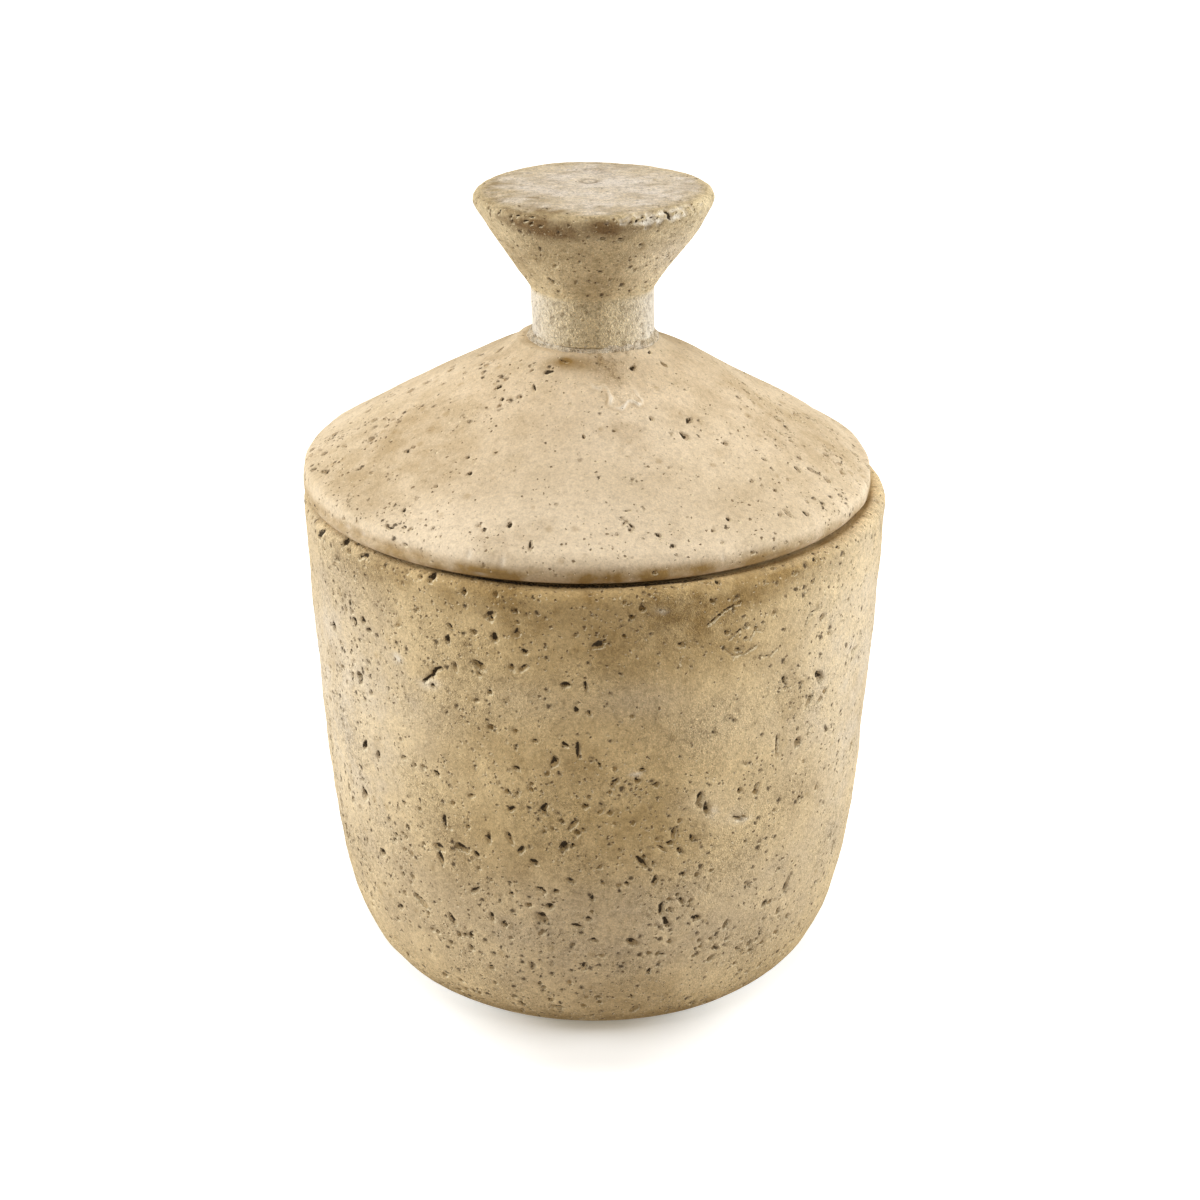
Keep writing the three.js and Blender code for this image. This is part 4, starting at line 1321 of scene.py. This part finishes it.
def clay_patterns(place, stored, pins, grit):
    """The patterns of a clay by name. First clouds and grain from large to fine, then dots of all sizes, on
    places that are warped so that none is round, and last the modelled holes with their painted shade and
    painted highlight."""
    p = SimpleNamespace()
    p.cloud = noise(place, 26.0, 4.0).step(0.5 - MOTTLE, 0.5 + MOTTLE)
    p.stains = noise(place, 48.0, 5.0, 0.62).step(0.54, 0.74)
    p.patch = noise(place, 110.0, 4.0, 0.62).step(0.36, 0.66)
    p.fine = noise(place, 760.0, 3.0, 0.62)
    p.grain = noise(place, 2000.0, 2.0)

    shift = place.node("TexNoise", None, {"Vector": place, "Scale": 1100.0, "Detail": 2.0}, "Color")
    warped = moved(place, place.node("VectorMath", {"operation": "SCALE"}, {0: shift, "Scale": WARP}))
    often = pins * (0.14 + 2.2 * stored.crowd)
    sizes = (0.10, 0.34, 0.10), (0.06, 0.22), (0.12, 0.30)
    # Pores and pinholes, each with painted shade above and a painted highlight below.
    p.pores, p.pore_core, p.pore_lip = tiny_holes(warped, 440.0, often, *sizes)
    fine_often = (0.30 + 0.5 * pins) * (0.3 + 2.8 * stored.crowd) * (1.0 - stored.sand)
    sizes = (0.10, 0.30), (0.04, 0.20), (0.10, 0.30)
    p.pinholes, p.pin_core, p.pin_lip = tiny_holes(warped, 800.0, fine_often, *sizes)
    p.specks = dots(warped, 1000.0, 0.40 + 0.5 * stored.crowd + 0.5 * stored.sand, 0.08, 0.28)
    p.rings = dots(warped, 330.0, 0.30 + 0.5 * stored.crowd, 0.03, 0.30, 0.18)
    p.flecks = dots(place, 1000.0, 0.25 * grit + 0.30 * stored.sand, 0.06, 0.24)
    p.pebbles = cells(warped, 2200.0).step(0.60, 0.10)

    ragged = (p.fine - 0.5) * 0.6 + (p.grain - 0.5) * 0.9
    p.inside = (stored.pit + ragged * 0.8).step(0.46, 0.54)
    # Painted shade in the upper side of modelled holes, and a painted highlight on their lower lips.
    p.fringe = (stored.core + ragged * 0.6).step(0.20, 0.60)
    p.shadow = (stored.core + ragged * 0.8).step(0.47, 0.58)
    p.lit_lip = (stored.lip + ragged * 0.8).step(0.44, 0.54) * (1.0 - p.inside)
    return p


print("mottle of", MOTTLE, "on either side of a half, dots warped by up to", round(WARP / MM, 1), "mm")

# %% [markdown]
# ## Colours of a clay
# Colours are laid over each other, the surface's own in the order in which they came onto the real surface:
# the mottled body, dust, stains with painted shade among them, grain and specks, grains of lime with painted
# highlights on the lower lips of holes, chalky scars, brown grit, and the painted shade of the holes last.

# %% Colours of a clay
# The near black is painted shade in holes, the brown is grit and specks and also painted shade in holes, and
# the lime is grains of lime and also painted highlights on the lower lips of holes.
DARK_HOLE = (0.034, 0.022, 0.010, 1.0)
HOLE_BROWN = (0.20, 0.122, 0.052, 1.0)
LIME = (0.92, 0.78, 0.51, 1.0)
CHALK = (0.93, 0.85, 0.71, 1.0)


def clay_colour(p, stored, light, deep, stain, dust, grit):
    """The colour from the patterns p: each paint covers what lies under it by its own share."""
    sand, rough = stored.sand, 0.4 + 0.9 * grit
    tone = (p.cloud * 0.5 + p.patch * 0.5).between(light, deep)
    tone = tone.paint(dust, stored.dust * (0.65 + 0.35 * p.patch))
    # Stains, together with painted shade on the seat, the lid's low edge and the jar's front rim and foot.
    tone = tone.paint(stain, (p.stains * 0.36).most(stored.soil * (0.55 + 0.60 * p.patch)))
    grainy = rough * ((p.grain - 0.5) * 0.8 + (p.fine - 0.5) * 0.6) + sand * ((p.grain - 0.5) * 0.6)
    tone = tone.shade(1.0 + grainy)
    tone = tone.shade(1.0 + (p.pebbles - 0.30) * (0.20 * grit + 0.35 * sand))
    tone = tone.paint(stain, p.rings * 0.36)
    tone = tone.paint(HOLE_BROWN, p.specks * (0.38 + 0.30 * sand))
    tone = tone.paint(LIME, p.flecks * 0.50)
    # Painted highlights on the lower lips of holes.
    tone = tone.paint(LIME, p.lit_lip.most(p.pore_lip).most(p.pin_lip) * 0.58)
    tone = tone.paint(CHALK, stored.pale * 0.85)
    tone = tone.paint(HOLE_BROWN, (0.5 - p.fine).most(0.0) * (0.7 * rough + 2.4 * sand))
    # Painted shade in the holes, darkest towards their upper side.
    hollow = (p.inside * 0.16).most(p.fringe * 0.55).most(p.pores * 0.45).most(p.pinholes * 0.72)
    tone = tone.paint(HOLE_BROWN, hollow)
    return tone.paint(DARK_HOLE, (p.pore_core * 0.75).most(p.pin_core * 0.50).most(p.shadow * 0.92))


def clay(name, light, deep, stain, dust, pins, grit):
    """A matt clay from its light and deep tone, the tone of its stains and painted shade, its dust, share of
    tiny holes and grit. The height of grain and tiny holes is in millimetres and goes into the bump."""
    finish = bpy.data.materials.new(name)
    wire = node_tree_of(finish)
    place = wire.node("TexCoord", out="Object")
    layers = {layer: wire.node("Attribute", {"attribute_name": layer}, None, "Fac") for layer in LAYERS}
    stored = SimpleNamespace(**layers)
    p = clay_patterns(place, stored, pins, grit)
    tones = [(*tone, 1.0) for tone in (light, deep, stain, dust)]
    height = (p.grain * 0.10 + p.pebbles * 0.10 + p.fine * 0.12) * (grit + stored.sand * 1.4)
    height = height - p.pinholes * 0.16 - p.pores * 0.26 - p.inside * 0.20 + p.flecks * 0.05
    surface = {
        "Base Color": clay_colour(p, stored, *tones, grit),
        "Roughness": 0.92,
        "Specular IOR Level": 0.22,
        "Normal": wire.node("Bump", None, {"Strength": 1.0, "Distance": MM, "Height": height}),
    }
    wire.node("OutputMaterial", None, {"Surface": wire.node("BsdfPrincipled", None, surface)})
    print("finish", name, len(wire.tree.nodes), "nodes")
    return finish


# %% [markdown]
# ## Four clays
# Each row is the light and the deep tone, the tone of stains and painted shade, the dust, the share of tiny
# holes and the grit. The jar is the warmest and the fullest of holes, the lid is smooth and pale, and the
# slip is the grittiest.

# %% Four clays
CLAYS = {
    "jar_clay": (
        (0.775, 0.576, 0.294), (0.546, 0.384, 0.168), (0.36, 0.23, 0.085), (0.79, 0.69, 0.55), 0.90, 0.6
    ),
    "lid_clay": (
        (0.805, 0.652, 0.452), (0.675, 0.532, 0.342), (0.33, 0.20, 0.065), (0.91, 0.77, 0.575), 0.40, 0.2
    ),
    "knob_clay": (
        (0.825, 0.672, 0.415), (0.635, 0.50, 0.283), (0.23, 0.142, 0.06), (0.88, 0.79, 0.68), 0.48, 0.7
    ),
    "slip": (
        (0.74, 0.61, 0.44), (0.60, 0.48, 0.31), (0.30, 0.21, 0.10), (0.80, 0.70, 0.58), 0.30, 1.0
    ),
}
finishes = {name: clay(name, *row) for name, row in CLAYS.items()}

# %% [markdown]
# ## Putting the pieces in place
# Each piece stands for one solid, rides on that solid's body and gets the finish of its clay.
# The numbers are the most triangles that a piece may keep.

# %% Place the pieces
PIECES = [
    ("pitted_jar", jar, 188000, "jar_body", "jar", "jar_clay"),
    ("cone_lid", lid, 190000, "lid_cover", "lid", "lid_clay"),
    ("flared_knob", knob, 190000, "lid_knob", "lid", "knob_clay"),
    ("slip_bead", bead, 30000, "knob_bond", "lid", "slip"),
]
for name, skin, triangles, node, body, slot in PIECES:
    piece = build(name, skin, triangles)
    piece.data.materials.clear()
    piece.data.materials.append(finishes[slot])
    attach(piece, body)
    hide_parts(node)

# %% [markdown]
